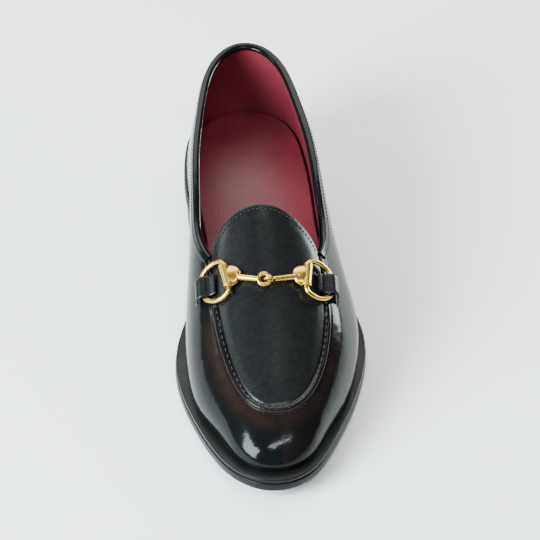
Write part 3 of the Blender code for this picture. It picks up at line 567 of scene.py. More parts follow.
def inked_edge(name, dark, light, layer_mm, depth_mm):
    """Black edge ink over leather, with the layers of the leather showing as faint level lines."""
    material, tree, shader, place = new_finish(name, {"IOR": 1.38, "Specular IOR Level": 0.2})
    split = add_node(tree, "ShaderNodeSeparateXYZ", links={"Vector": place})
    level = add_node(tree, "ShaderNodeCombineXYZ", links={"Z": split.outputs["Z"]})
    layers = add_node(tree, "ShaderNodeTexNoise", {"Scale": per_metre(layer_mm), "Detail": 3.0},
                      {"Vector": level.outputs["Vector"]})
    rub = add_node(tree, "ShaderNodeTexNoise", {"Scale": per_metre(6.0), "Detail": 4.0}, {"Vector": place})
    tint = add_node(tree, "ShaderNodeMix", {"data_type": "RGBA", 6: from_hex(dark), 7: from_hex(light)},
                    {0: layers.outputs["Fac"]})
    tree.links.new(tint.outputs[2], shader.inputs["Base Color"])
    gloss = add_node(tree, "ShaderNodeMapRange", {"To Min": 0.22, "To Max": 0.45},
                     {"Value": rub.outputs["Fac"]})
    tree.links.new(gloss.outputs["Result"], shader.inputs["Roughness"])
    bump = add_node(tree, "ShaderNodeBump", {"Strength": 0.4, "Distance": depth_mm * MILLIMETRE},
                    {"Height": layers.outputs["Fac"]})
    tree.links.new(bump.outputs["Normal"], shader.inputs["Normal"])
    return material


def moulded_rubber():
    """Matt black rubber with a fine spark-eroded texture."""
    material, tree, shader, place = new_finish("moulded_rubber", {"Base Color": from_hex("#161617"),
                                                                  "Roughness": 0.72, "IOR": 1.52})
    stipple = add_node(tree, "ShaderNodeTexNoise", {"Scale": per_metre(0.8), "Detail": 2.0},
                       {"Vector": place})
    bump = add_node(tree, "ShaderNodeBump", {"Strength": 0.4, "Distance": 0.2 * MILLIMETRE},
                    {"Height": stipple.outputs["Fac"]})
    tree.links.new(bump.outputs["Normal"], shader.inputs["Normal"])
    return material


def waxed_thread():
    """Black waxed linen thread; its twist is 0.5 mm, drawn as it is."""
    material, tree, shader, place = new_finish("waxed_black_thread", {"Base Color": from_hex("#1b1a19"),
                                                                      "Roughness": 0.5, "IOR": 1.45})
    twist = add_node(tree, "ShaderNodeTexNoise", {"Scale": per_metre(0.5), "Detail": 1.0}, {"Vector": place})
    bump = add_node(tree, "ShaderNodeBump", {"Strength": 0.5, "Distance": 0.1 * MILLIMETRE},
                    {"Height": twist.outputs["Fac"]})
    tree.links.new(bump.outputs["Normal"], shader.inputs["Normal"])
    return material


def polished_brass():
    """Cast brass, polished and lacquered; the lacquer makes its gloss slightly uneven."""
    material, tree, shader, place = new_finish("polished_brass", {
        "Metallic": 1.0, "Coat Weight": 0.2, "Coat Roughness": 0.08})
    haze = add_node(tree, "ShaderNodeTexNoise", {"Scale": per_metre(6.0), "Detail": 2.0}, {"Vector": place})
    tint = add_node(tree, "ShaderNodeMix",
                    {"data_type": "RGBA", 6: from_hex("#bf993a"), 7: from_hex("#d6b250")},
                    {0: haze.outputs["Fac"]})
    tree.links.new(tint.outputs[2], shader.inputs["Base Color"])
    gloss = add_node(tree, "ShaderNodeMapRange", {"To Min": 0.22, "To Max": 0.32},
                     {"Value": haze.outputs["Fac"]})
    tree.links.new(gloss.outputs["Result"], shader.inputs["Roughness"])
    return material


LINING = burgundy_goat()
EDGE = inked_edge("inked_sole_edge", "#0a0b0b", "#131313", 0.9, 0.08)
STACK = inked_edge("stacked_leather_under_ink", "#0c0c0c", "#241d19", 3.5, 0.15)
RUBBER = moulded_rubber()
THREAD = waxed_thread()
BRASS = polished_brass()
print("finishes:", [m.name for m in (LINING, EDGE, STACK, RUBBER, THREAD, BRASS)])

# %% [markdown]
# ## Mesh helpers
#
# Nearly every piece is a loft: rows of points with faces between them. Rows could be bridged by a
# modifier, but faces made by rule keep the order of the points, so stitches and colour can be placed by
# row and column.


# %% Lofts from rows of points
def strip(first, second, closed):
    """Faces between two rows of point numbers."""
    count = len(first)
    last = count if closed else count - 1
    return [(first[k], first[(k + 1) % count], second[(k + 1) % count], second[k]) for k in range(last)]


def fan(ring, middle):
    """Faces from a closed ring to one point."""
    return [(a, b, middle) for a, b in zip(ring, ring[1:] + ring[:1])]


class Points:
    """Collects points and hands out their numbers."""

    def __init__(self):
        self.rows = []
        self.count = 0

    def add(self, points):
        points = np.atleast_2d(points)
        numbers = list(range(self.count, self.count + len(points)))
        self.rows.append(points)
        self.count += len(points)
        return numbers


def add_mesh(name, mesh, material, sharp=38):
    """An object round a mesh that rides on the shoe."""
    mesh.shade_smooth()
    mesh.set_sharp_from_angle(angle=math.radians(sharp))
    mesh.materials.append(material)
    thing = bpy.data.objects.new(name, mesh)
    bpy.context.scene.collection.objects.link(thing)
    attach(thing, "root")
    return thing


def loft(name, store, faces, material, sharp=38):
    """A closed surface from collected points and faces."""
    mesh = bpy.data.meshes.new(name)
    mesh.from_pydata([tuple(point) for point in world(np.concatenate(store.rows))], [], faces)
    form = bmesh.new()
    form.from_mesh(mesh)
    bmesh.ops.recalc_face_normals(form, faces=form.faces)
    form.to_mesh(mesh)
    form.free()
    return add_mesh(name, mesh, material, sharp)


def blank(thing, name, values):
    """Store one number for each point of a mesh, for its material to read."""
    layer = thing.data.attributes.new(name, "FLOAT", "POINT")
    layer.data.foreach_set("value", np.asarray(values, dtype=np.float32))


print("kit ready")

# %% [markdown]
# ## The wall of the upper
#
# Columns run up the last from the welt to the top line or the apron. Columns and rows are crowded where
# the shape turns quickly: round toe and heel, and over the raised seam.

# %% Grid over the wall
FRONT_COLUMNS = 300
REAR_COLUMNS = 216
TOE_CROWDING = 0.25
HEEL_CROWDING = 0.55
BLEND_COLUMNS = 36
FEATHER_SPLIT = 152.0
FINE_STEPS = 45
SEAM_COLUMNS = ("distance", "rise")
SEAM = (
    (0.0, -0.45),
    (0.7, 0.05),
    (1.5, 0.72),
    (2.4, 1.18),
    (3.2, 1.12),
    (3.9, 0.55),
    (4.5, -0.22),
    (5.1, -0.10),
    (6.2, 0.0),
)
SEAM_ROWS = 26
OUTER_ROWS = 30
SEAM_WIDTH = 4.5
ROW_CROWDING = 1.5
CORE_FRONT = 40.0
CORE_LIFT = 6.0
CORE_START = 90.0
CORE_BLEND = 60.0


def split_angle(ends, station):
    """Angle of an outline at which it passes a station."""
    return math.acos(1 - 2 * (station - ends[0]) / (ends[1] - ends[0]))


def wall_columns():
    """Feet and tops of the wall's columns: lateral corner, toe, medial corner, heel and back."""
    split = split_angle(FEATHER_ENDS, FEATHER_SPLIT)
    whole = 2 * math.pi
    front = outline_plan(FEATHER_EDGE, FEATHER_ENDS, np.linspace(split, whole - split, FINE_LINE))
    rear = outline_plan(FEATHER_EDGE, FEATHER_ENDS, np.linspace(whole - split, whole + split, FINE_LINE))
    front_feet = evenly(with_height(front, feather_height), FRONT_COLUMNS, TOE_CROWDING)
    rear_feet = evenly(with_height(rear, feather_height), REAR_COLUMNS, HEEL_CROWDING)
    front_tops = evenly(on_top(apron_plan(np.linspace(0.0, math.pi, FINE_LINE))), FRONT_COLUMNS, TOE_CROWDING)
    rear_tops = evenly(topline(), REAR_COLUMNS, HEEL_CROWDING)
    feet = np.concatenate([front_feet, rear_feet[1:-1]])
    tops = np.concatenate([front_tops, rear_tops[1:-1]])
    return feet, tops


def inner_line(points):
    """Points inside the last from which the wall's rays start."""
    station = np.clip(points[..., 1], HEEL_CENTRE, LAST_LENGTH - CORE_FRONT)
    low = feather_height(station) + CORE_LIFT
    mix = ease((points[..., 1] - CORE_START) / CORE_BLEND)
    height = points[..., 2] * (1 - mix) + low * mix
    return np.stack([np.zeros(station.shape), station, height], -1)


def on_wall(feet, tops, share):
    """Surface points between feet and tops at given shares of the way up."""
    straight = feet + (tops - feet) * share[..., None]
    return cast(inner_line(straight), straight)


def row_distances(full):
    """Distances from the top of a front column, close together over the seam."""
    seam = np.linspace(0.0, SEAM[-1][0], SEAM_ROWS)
    spread = np.linspace(0.0, 1.0, OUTER_ROWS + 1)[1:] ** ROW_CROWDING
    return np.concatenate([seam, seam[-1] + (full - seam[-1]) * spread])


def wall_grid():
    """Surface points of the wall from the welt up, with each row's distance from the top."""
    feet, tops = wall_columns()
    count = len(feet)
    share = np.linspace(0.0, 1.0, FINE_STEPS)[:, None] * np.ones(count)
    fine = on_wall(feet, tops, share)
    lengths = np.linalg.norm(np.diff(fine, axis=0), axis=-1)
    below = np.concatenate([np.cumsum(lengths[::-1], axis=0)[::-1], np.zeros((1, count))])
    index = np.arange(count)
    rear = ease(np.minimum(index - FRONT_COLUMNS, count - index) / BLEND_COLUMNS)
    rows = SEAM_ROWS + OUTER_ROWS
    distance = np.empty((rows, count))
    shares = np.empty((rows, count))
    for k in range(count):
        front_rows = row_distances(below[0, k])
        rear_rows = np.linspace(0.0, below[0, k], rows)
        distance[:, k] = (front_rows + (rear_rows - front_rows) * rear[k])[::-1]
        shares[:, k] = np.interp(distance[:, k], below[::-1, k], share[::-1, k])
    return on_wall(feet, tops, shares), distance


base, distance = wall_grid()
normal = outward(base)
count = base.shape[1]
print("wall grid", base.shape[:2])

# %% [markdown]
# ## Raised seam and puckers
#
# The apron's seam is a roll of leather pinched up and sewn through. Round the toe the longer vamp is
# gathered into the shorter apron, which leaves small puckers between the stitches. The roll is a height
# profile over the distance from the apron. The puckers are a fading ripple at the stitch spacing, given
# as two gathers with a strength, a distance from the apron and a spread.

# %% Height of the seam and the puckers
STITCH_PITCH = 4.0
SEAM_FADE_START = 27.0
SEAM_FADE_END = 42.0
SEAM_FADE_REST = 0.15
PUCKER_REACH = 36.0
PUCKER_DEPTH = 0.12
GATHERS = ((0.45, 5.2, 1.8), (0.7, 2.2, 1.0))

front_tops = base[-1, :FRONT_COLUMNS + 1]
seam_travel = travel(front_tops)
seam_length = seam_travel[-1]
to_corner = np.minimum(seam_travel, seam_length - seam_travel)
strength = np.zeros(count)
strength[:FRONT_COLUMNS + 1] = SEAM_FADE_REST + (1 - SEAM_FADE_REST) * ease(
    (to_corner - SEAM_FADE_START) / (SEAM_FADE_END - SEAM_FADE_START))
ripple = np.zeros(count)
gather = np.zeros(count)
ripple[:FRONT_COLUMNS + 1] = np.sin(2 * math.pi * seam_travel / STITCH_PITCH)
gather[:FRONT_COLUMNS + 1] = ease(1.0 - np.abs(seam_travel - seam_length / 2) / PUCKER_REACH)
seam_curve = smooth_curve(column(SEAM, SEAM_COLUMNS, "distance"), column(SEAM, SEAM_COLUMNS, "rise"))
seam_rise = seam_curve(np.minimum(distance, SEAM[-1][0])) * strength
pull = sum(share * np.exp(-((distance - place) / spread) ** 2) for share, place, spread in GATHERS)
rise = seam_rise + PUCKER_DEPTH * pull * ripple * gather
print("seam", round(float(seam_length)), "mm long, highest", round(float(rise.max()), 2), "mm")

# %% [markdown]
# The vamp is a skin of outer leather over a lining, so it is made as two closed shells. The outer shell
# gets a burnish value at each point: patches where brown shows through, strongest beside the seam.

# %% Outer leather
LEATHER = 1.25
APRON_DROP = 1.6
APRON_LINING = 1.5
GLUE = 0.05
BURNISH_GAP = 8.0
BURNISH_SPREAD = 5.5
BURNISH_START = 190.0
BURNISH_FADE = 25.0
LATERAL_BURNISH = 0.75
TOE_BURNISH = 0.35
TOE_START = 262.0
TOE_FADE = 14.0
TOE_SIDE = 4.0


def burnish(points, gap):
    """How much brown shows through, from places named by side and station."""
    across, station, _ = np.moveaxis(points, -1, 0)
    beside_seam = np.exp(-((gap - BURNISH_GAP) / BURNISH_SPREAD) ** 2)
    inner = np.where(across < 0, 1.0, LATERAL_BURNISH) * ease((station - BURNISH_START) / BURNISH_FADE)
    toe = TOE_BURNISH * ease((station - TOE_START) / TOE_FADE) * (across > TOE_SIDE)
    return np.clip(beside_seam * inner + toe, 0.0, 1.0)


def make_upper():
    """The outer leather of vamp and quarters, as one closed shell."""
    store = Points()
    outer = base + normal * rise[..., None]
    inner = base - normal * LEATHER
    inner[0, :, 2] = base[0, :, 2]
    rows = [store.add(row) for row in outer] + [store.add(row) for row in inner[::-1]]
    faces = []
    for lower, upper in zip(rows, rows[1:] + rows[:1]):
        faces += strip(lower, upper, True)
    thing = loft("upper_leather", store, faces, CALF, 50)
    shade = np.where(np.arange(count) <= FRONT_COLUMNS, burnish(base, distance), 0.0)
    blank(thing, "burnish", np.concatenate([shade.ravel(), shade[::-1].ravel()]))
    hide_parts("upper")
    return thing


upper = make_upper()
print(upper.name, len(upper.data.polygons), "faces")

# %% [markdown]
# ## Lining, apron and tongue
#
# The lining is glued inside the whole upper and runs on under apron and tongue. The apron lies in the
# step inside the seam. Both share rings of points that shrink to a centre inside the apron's edge.

# %% Rings inside the apron
TONGUE_COLUMNS = 96
DISC_CENTRE = 200.0
DISC_RINGS = 44
APRON_INSET = 0.1
APRON_THICK = 1.2
APRON_SEAT = 0.1
APRON_EDGE = -0.45
APRON_CROWN = 0.35
CROWN_RISE = 6.0
EDGE_ROLL = 0.28
ROLL_FADE = 60.0
RING_CROWDING = 1.35
LINING_STEP = 3
LINING_BLEND = 14.0
LINING_INSET = 0.35


def ring_shares():
    """How far out each ring inside the apron lies, close together at the edge."""
    return 1.0 - np.linspace(0.0, 1.0, DISC_RINGS + 1)[:-1] ** RING_CROWDING


def disc_plan(inset):
    """Rings of plan points inside the apron's seam and the tongue's edge, shrinking to a centre."""
    tongue = evenly(on_top(tongue_plan(np.linspace(0.0, math.pi, FINE_LINE))), TONGUE_COLUMNS)
    edge = np.concatenate([front_tops[:, :2], tongue[1:-1, :2]])
    centre = np.array([ridge_shift(DISC_CENTRE), DISC_CENTRE])
    spokes = edge - centre
    lengths = np.linalg.norm(spokes, axis=1, keepdims=True)
    spokes *= 1.0 - inset / lengths
    return [centre + share * spokes for share in ring_shares()], centre


def make_lining():
    """The lining of the whole upper with the layer under apron and tongue."""
    store = Points()
    index = np.arange(count)
    front = np.where(index <= FRONT_COLUMNS, np.minimum(index, FRONT_COLUMNS - index), 0)
    deepen = np.minimum(front / LINING_BLEND, 1.0) * (APRON_DROP + APRON_LINING - WALL)
    depth = WALL + deepen * np.clip(1.0 - distance / SEAM_WIDTH, 0.0, 1.0)
    picked = list(range(0, base.shape[0] - 1, LINING_STEP)) + [base.shape[0] - 1]
    outer = (base - normal * (LEATHER + GLUE))[picked]
    inner = (base - normal * depth[..., None])[picked]
    inner[0, :, 2] = base[0, :, 2]
    plans, centre = disc_plan(LINING_INSET)
    rings = [on_top(plan) for plan in plans[::LINING_STEP]]
    middle = on_top(centre)
    rows_out = [store.add(row) for row in outer]
    rows_in = [store.add(row) for row in inner]
    discs_out = [store.add(ring - outward(ring) * APRON_DROP) for ring in rings]
    discs_in = [store.add(ring - outward(ring) * (APRON_DROP + APRON_LINING)) for ring in rings]
    faces = strip(rows_in[0], rows_out[0], True)
    shells = ((rows_out, discs_out, APRON_DROP), (rows_in, discs_in, APRON_DROP + APRON_LINING))
    for rows, discs, deep in shells:
        for lower, upper_row in zip(rows, rows[1:]):
            faces += strip(lower, upper_row, True)
        faces += strip(rows[-1][:FRONT_COLUMNS + 1], discs[0][:FRONT_COLUMNS + 1], False)
        for wide, narrow in zip(discs, discs[1:]):
            faces += strip(wide, narrow, True)
        faces += fan(discs[-1], store.add(middle - outward(middle) * deep)[0])
    ends = []
    for rows, discs in ((rows_out, discs_out), (rows_in, discs_in)):
        ends.append(rows[-1][FRONT_COLUMNS:] + rows[-1][:1] + discs[0][:1] + discs[0][:FRONT_COLUMNS - 1:-1])
    faces += strip(ends[0], ends[1], True)
    return loft("lining", store, faces, LINING)


def apron_shape(ring, edge_share):
    """Surface of the apron at a ring: flush at its edge, with a slight soft crown inside."""
    crown = APRON_EDGE + APRON_CROWN * ease(edge_share * CROWN_RISE)
    return ring + outward(ring) * crown


def make_apron():
    """Apron and tongue, one piece of softer calf with a rolled edge."""
    plans, centre = disc_plan(APRON_INSET)
    store = Points()
    top_rings = []
    low_rings = []
    for plan, share in zip(plans, ring_shares()):
        ring = on_top(plan)
        up = outward(ring)
        top = apron_shape(ring, 1.0 - share)
        round_off = EDGE_ROLL * (1.0 - ease((1.0 - share) * ROLL_FADE))
        top_rings.append(store.add(top - up * round_off))
        low_rings.append(store.add(ring - up * (APRON_SEAT + APRON_THICK)))
    middle = on_top(centre)
    up = outward(middle)
    faces = strip(low_rings[0], top_rings[0], True)
    for rings in (top_rings, low_rings):
        for wide, narrow in zip(rings, rings[1:]):
            faces += strip(wide, narrow, True)
    faces += fan(top_rings[-1], store.add(apron_shape(middle, 1.0))[0])
    faces += fan(low_rings[-1], store.add(middle - up * (APRON_SEAT + APRON_THICK))[0])
    thing = loft("apron_and_tongue", store, faces, APRON_CALF, 60)
    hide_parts("apron")
    return thing


lining = make_lining()
apron = make_apron()
print(lining.name, len(lining.data.polygons), "faces;", apron.name, len(apron.data.polygons), "faces")

# %% [markdown]
# ## Collar binding
#
# A strip of calf is folded over the top line and stitched down. It is swept along the top line as one
# soft U-shaped section, turned under at its outer edge.

# %% Binding over the top line
BINDING_THICK = 0.9
BINDING_OUTER = 4.2
BINDING_INNER = 1.4
BINDING_END = 0.05
BINDING_FOLD_POINTS = 11
BINDING_EDGE = ((0.0, 0.0), (0.55, 0.0), (0.9, 0.35), (1.0, 0.9), (0.93, 2.1), (1.0, 3.6))
BINDING_TURN = ((1.0, 0.3), (0.6, 0.0), (0.0, 0.0))


def binding_profile():
    """Section of the folded binding as outward and downward distances from the top line."""
    inner = -WALL - GAP
    thick = BINDING_THICK
    outside = [(GAP + share * thick, BINDING_OUTER - up) for share, up in BINDING_EDGE]
    fold = [(-WALL / 2 + (GAP + thick + WALL / 2) * math.cos(a), -(GAP + thick) * math.sin(a))
            for a in np.linspace(0.0, math.pi, BINDING_FOLD_POINTS)]
    inside = [(inner - share * thick, BINDING_INNER - up) for share, up in BINDING_TURN]
    return outside + fold + inside + [(inner, -GAP), (GAP, -GAP)]


def binding_frames():
    """Points of the top line with their outward and downward directions."""
    rear = list(range(FRONT_COLUMNS, count)) + [0]
    top = base[-1, rear].copy()
    out = normal[-1, rear].copy()
    for ends in ((0, 1), (-1, -2)):
        top[ends[0]] += BINDING_END * (top[ends[1]] - top[ends[0]])
    ahead = np.gradient(top, axis=0)
    ahead /= np.linalg.norm(ahead, axis=1, keepdims=True)
    out -= ahead * np.sum(out * ahead, axis=1, keepdims=True)
    out /= np.linalg.norm(out, axis=1, keepdims=True)
    down = np.cross(ahead, out)
    down *= np.where(down[:, 2:] > 0, -1.0, 1.0)
    return top, out, down


def make_binding():
    """The folded leather strip along the collar."""
    store = Points()
    sections = []
    for point, side, fall in zip(*binding_frames()):
        sections.append(store.add(np.array([point + side * a + fall * b for a, b in binding_profile()])))
    faces = [tuple(sections[0]), tuple(sections[-1][::-1])]
    for first, second in zip(sections, sections[1:]):
        faces += strip(first, second, True)
    thing = loft("collar_binding_strip", store, faces, CALF, 60)
    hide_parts("collar_binding")
    return thing


binding = make_binding()
print(binding.name, len(binding.data.polygons), "faces")

# %% [markdown]
# ## Welt, outsole, insole and heel
#
# Flat pieces are lofts through closed outlines. The welt's edge and the outsole's edge are each rounded
# with a file before inking, so their corners are drawn with four points. The heel shows its lifts as fine
# grooves.

# %% Sole pieces
WELT_TUCK = 5.0
EDGE_BEVEL = 0.7
BED_INSET = 1.0
SOLE_POINTS = 420
HEEL_BREAST = 73.0
HEEL_POINTS = 130
HEEL_INSET = 0.4
HEEL_TAPER = 2.0
TOP_LIFT = 6.0
INSOLE_THICK = 3.0
INSOLE_INSET = 3.7
LIFT_COUNT = 4
LIFT_GROOVE = 0.22


def ring_points(store, edges, ends, inset, height):
    """Numbers of a closed ring of points on an inset outline."""
    angle = np.linspace(0.0, 2 * math.pi, SOLE_POINTS, endpoint=False)
    return store.add(with_height(inset_plan(edges, ends, angle, inset), height))


def ladder(ring):
    """Faces that close a ring whose first and middle points are its two ends."""
    total = len(ring)
    half = total // 2
    faces = [(ring[0], ring[1], ring[-1]), (ring[half - 1], ring[half], ring[half + 1])]
    for k in range(1, half - 1):
        faces.append((ring[k], ring[k + 1], ring[total - k - 1], ring[total - k]))
    return faces


def raised(function, more):
    """A height function moved up."""
    return lambda station: function(station) + more


def edge_levels(low, high, inset):
    """Insets and heights of a sole edge whose two corners are filed round."""
    corner = EDGE_BEVEL
    steps = [(math.sin(a), math.cos(a)) for a in np.linspace(0.0, math.pi / 2, 4)]
    levels = [(inset + corner * (1 - s), raised(low, corner * (1 - c))) for s, c in steps]
    levels += [(inset + corner * (1 - c), raised(high, corner * (s - 1))) for s, c in steps]
    return levels


def make_welt():
    """The welt, a strip round the foot of the upper."""
    store = Points()
    low = raised(sole_top, -WELT_THICK)
    rings = [ring_points(store, FEATHER_EDGE, FEATHER_ENDS, WELT_TUCK, low)]
    rings += [ring_points(store, SOLE_EDGE, SOLE_ENDS, inset, height)
              for inset, height in edge_levels(low, sole_top, GAP)]
    rings.append(ring_points(store, FEATHER_EDGE, FEATHER_ENDS, WELT_TUCK, sole_top))
    faces = []
    for lower, upper_ring in zip(rings, rings[1:] + rings[:1]):
        faces += strip(lower, upper_ring, True)
    thing = loft("welt_strip", store, faces, EDGE, 50)
    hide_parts("welt")
    return thing


def make_outsole():
    """The leather outsole with its filed edge, and the bed inside the welt."""
    store = Points()
    high = raised(underside, OUTSOLE_THICK)
    rings = [ring_points(store, SOLE_EDGE, SOLE_ENDS, inset, height)
             for inset, height in edge_levels(underside, high, 0.0)]
    rings.append(ring_points(store, FEATHER_EDGE, FEATHER_ENDS, WELT_TUCK + GAP, high))
    rings.append(ring_points(store, FEATHER_EDGE, FEATHER_ENDS, WELT_TUCK + GAP, sole_top))
    faces = ladder(rings[0]) + ladder(rings[-1])
    for lower, upper_ring in zip(rings, rings[1:]):
        faces += strip(lower, upper_ring, True)
    thing = loft("leather_outsole", store, faces, EDGE, 50)
    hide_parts("outsole")
    return thing


def make_sock():
    """The insole with its burgundy sock."""
    store = Points()
    levels = (
        (INSOLE_INSET + BED_INSET, feather_height),
        (INSOLE_INSET, raised(feather_height, EDGE_BEVEL)),
        (INSOLE_INSET, raised(feather_height, INSOLE_THICK - EDGE_BEVEL)),
        (INSOLE_INSET + 0.3, raised(feather_height, INSOLE_THICK - 0.2)),
        (INSOLE_INSET + BED_INSET, raised(feather_height, INSOLE_THICK)),
    )
    rings = [ring_points(store, FEATHER_EDGE, FEATHER_ENDS, inset, height) for inset, height in levels]
    faces = ladder(rings[0]) + ladder(rings[-1])
    for lower, upper_ring in zip(rings, rings[1:]):
        faces += strip(lower, upper_ring, True)
    thing = loft("sock_and_insole", store, faces, LINING, 50)
    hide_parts("insole")
    return thing


def heel_ring(store, inset, height):
    """Numbers of the heel's outline from one end of the breast round the back to the other."""
    reach = split_angle(SOLE_ENDS, HEEL_BREAST)
    plan = inset_plan(SOLE_EDGE, SOLE_ENDS, np.linspace(-reach, reach, HEEL_POINTS), inset)
    plan[:, 1] = np.minimum(plan[:, 1], HEEL_BREAST)
    return store.add(with_height(plan, height))


def make_heel_piece(name, levels, material, node):
    """A heel piece through outlines at given insets and heights."""
    store = Points()
    rings = [heel_ring(store, inset, height) for inset, height in levels]
    half = HEEL_POINTS // 2
    faces = []
    for ring in (rings[0], rings[-1]):
        faces += [(ring[k], ring[k + 1], ring[-k - 2], ring[-k - 1]) for k in range(half - 1)]
    for lower, upper_ring in zip(rings, rings[1:]):
        faces += strip(lower, upper_ring, True)
    thing = loft(name, store, faces, material, 50)
    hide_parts(node)
    return thing


def stack_levels():
    """Outlines up the stacked heel, drawn in at each joint between two lifts."""
    levels = []
    for k in range(LIFT_COUNT):
        for share, groove in ((0.0, LIFT_GROOVE), (0.06, 0.0), (0.94, 0.0), (1.0, LIFT_GROOVE)):
            up = (k + share) / LIFT_COUNT
            inset = HEEL_TAPER + (HEEL_INSET - HEEL_TAPER) * up + groove
            levels.append((inset, lambda s, up=up: (TOP_LIFT + GAP) * (1 - up) + (underside(s) - GAP) * up))
    return levels


def lift_levels():
    """Outlines up the rubber top lift, rounded at the tread."""
    steps = ((EDGE_BEVEL, 0.0), (0.2, 0.25), (0.0, EDGE_BEVEL), (0.0, TOP_LIFT - 0.2), (0.2, TOP_LIFT))
    return [(HEEL_TAPER + inset, lambda s, z=z: np.full(np.shape(s), z)) for inset, z in steps]


soles = [make_welt(), make_outsole(), make_sock()]
soles.append(make_heel_piece("stacked_heel", stack_levels(), STACK, "heel_stack"))
soles.append(make_heel_piece("rubber_top_lift", lift_levels(), RUBBER, "top_lift"))
print("sole pieces:", [thing.name for thing in soles])

# %% [markdown]
# ## The snaffle bit
#
# The bit is cast in four parts: two D-shaped rings, and two bars with a sleeve at the cheek and an eye in
# the middle. Wires are curves with a round bevel. Sleeves and paddles are profiles spun round an axis,
# and the paddles are then flattened.

# %% Sizes of the bit
CHEEKS = {-1.0: (-19.9, 183.6), 1.0: (21.7, 186.2)}
LINK = (0.6, 190.4)
CHEEK_LIFT = 3.2
LINK_LIFT = 4.1
RING_WIRE = 1.4
RING_ROUND = 11.3
RING_OFFSET = 6.6
RING_LIFT = 2.5
RING_POINTS = 72
RING_CORNER = 7.0
RING_CHORD_INSET = 1.2
SLEEVE_LENGTH = 14.4
SLEEVE_RADIUS = 2.75
BAR_THICK = 1.85
BAR_THIN = 1.5
BAR_TAPER = 0.8
BAR_POINTS = 26
PADDLE_RADIUS = 6.5
PADDLE_FLAT = 0.38
PADDLE_LENGTH = 7.4
PADDLE_START = 0.8
PADDLE_ROWS = 14
PADDLE_POWERS = (2.6, 0.6)
PADDLE_FOOT = (6.045, -0.1)
SLEEVE_END = ((1.85, 0.0), (2.4, 0.05), (2.7, 0.3), (2.8, 0.7), (2.78, 1.4), (2.75, 2.6))
EYES = {-1.0: (3.1, 1.2), 1.0: (2.6, 1.0)}
LINK_CLEARANCE = 0.35
EYE_POINTS = 48
TURNED_SIDES = 40


def unit(vector):
    """A vector made one long."""
    return vector / np.linalg.norm(vector)


def square_to(vector, axis):
    """The part of a vector at right angles to an axis, made one long."""
    return unit(vector - axis * np.dot(vector, axis))


def above(across, station, lift):
    """A point over the upper's surface."""
    foot = on_top(np.array([across, station]))
    return foot + outward(foot) * lift


def cheek_frame(sign):
    """Middle of a cheek with its outward and toeward directions, and the ring's far point."""
    across, station = CHEEKS[sign]
    middle = above(across, station, CHEEK_LIFT)
    near, far = abs(across), abs(across) + SIDE_REACH / 2
    for _ in range(HALVINGS):
        reach = (near + far) / 2
        tip = above(sign * reach, station, RING_LIFT)
        if np.linalg.norm(tip - middle) < RING_ROUND + RING_OFFSET:
            near = reach
        else:
            far = reach
    out = unit(tip - middle)
    between = (abs(across) + reach) / 2
    front = above(sign * between, station + SLEEVE_LENGTH, RING_LIFT)
    back = above(sign * between, station - SLEEVE_LENGTH, RING_LIFT)
    return middle, out, square_to(front - back, out), (sign * reach, station)


def link_frame():
    """Middle of the joined eyes with the directions along the bars, toeward and up."""
    middle = above(*LINK, LINK_LIFT)
    ends = above(*CHEEKS[1.0], CHEEK_LIFT) - above(*CHEEKS[-1.0], CHEEK_LIFT)
    up = outward(on_top(np.array(LINK)))
    across = square_to(unit(ends), up)
    return middle, across, np.cross(up, across), up


CHEEK_FRAMES = {sign: cheek_frame(sign) for sign in CHEEKS}
bit_span = np.linalg.norm(CHEEK_FRAMES[1.0][0] - CHEEK_FRAMES[-1.0][0])
print("bit spans", round(float(bit_span), 1), "mm between sleeves")


# %% Wires and turned shapes
def wire_mesh(points, radii, closed):
    """A round wire through points, as a mesh."""
    curve = bpy.data.curves.new("drawn_wire", "CURVE")
    curve.dimensions = "3D"
    curve.bevel_depth = MILLIMETRE
    curve.bevel_resolution = 6
    curve.use_fill_caps = True
    line = curve.splines.new("POLY")
    line.points.add(len(points) - 1)
    line.use_cyclic_u = closed
    for spot, place, radius in zip(line.points, world(np.array(points)), radii):
        spot.co = (*place, 1.0)
        spot.radius = radius
    drawn = bpy.data.objects.new("drawn_wire", curve)
    bpy.context.scene.collection.objects.link(drawn)
    graph = bpy.context.evaluated_depsgraph_get()
    mesh = bpy.data.meshes.new_from_object(drawn.evaluated_get(graph))
    bpy.data.objects.remove(drawn)
    return mesh


def direction(vector):
    """A direction across, along and up in Blender's axes."""
    return Vector((vector[0], -vector[1], vector[2])).normalized()


def turned_mesh(profile, foot, axis, side, squash):
    """A profile of radius and distance spun round an axis and flattened square to a side direction."""
    form = bmesh.new()
    rings = []
    for radius, reach in profile:
        ring = []
        for angle in np.linspace(0.0, 2 * math.pi, TURNED_SIDES, endpoint=False):
            ring.append(form.verts.new((radius * math.cos(angle), radius * math.sin(angle) * squash, reach)))
        rings.append(ring)
    for first, second in zip(rings, rings[1:]):
        for k in range(TURNED_SIDES):
            form.faces.new((first[k - 1], first[k], second[k], second[k - 1]))
    form.faces.new(rings[0])
    form.faces.new(rings[-1][::-1])
    axis = direction(axis)
    side = direction(side)
    side = (side - axis * side.dot(axis)).normalized()
    third = axis.cross(side)
    spot = Vector(world(foot)[0])
    turn = Matrix((
        (side.x, third.x, axis.x, 0.0),
        (side.y, third.y, axis.y, 0.0),
        (side.z, third.z, axis.z, 0.0),
        (0.0, 0.0, 0.0, 1.0),
    ))
    placed = Matrix.Translation(spot) @ turn @ Matrix.Scale(MILLIMETRE, 4)
    bmesh.ops.transform(form, matrix=placed, verts=form.verts)
    bmesh.ops.recalc_face_normals(form, faces=form.faces)
    mesh = bpy.data.meshes.new("turned")
    form.to_mesh(mesh)
    form.free()
    return mesh


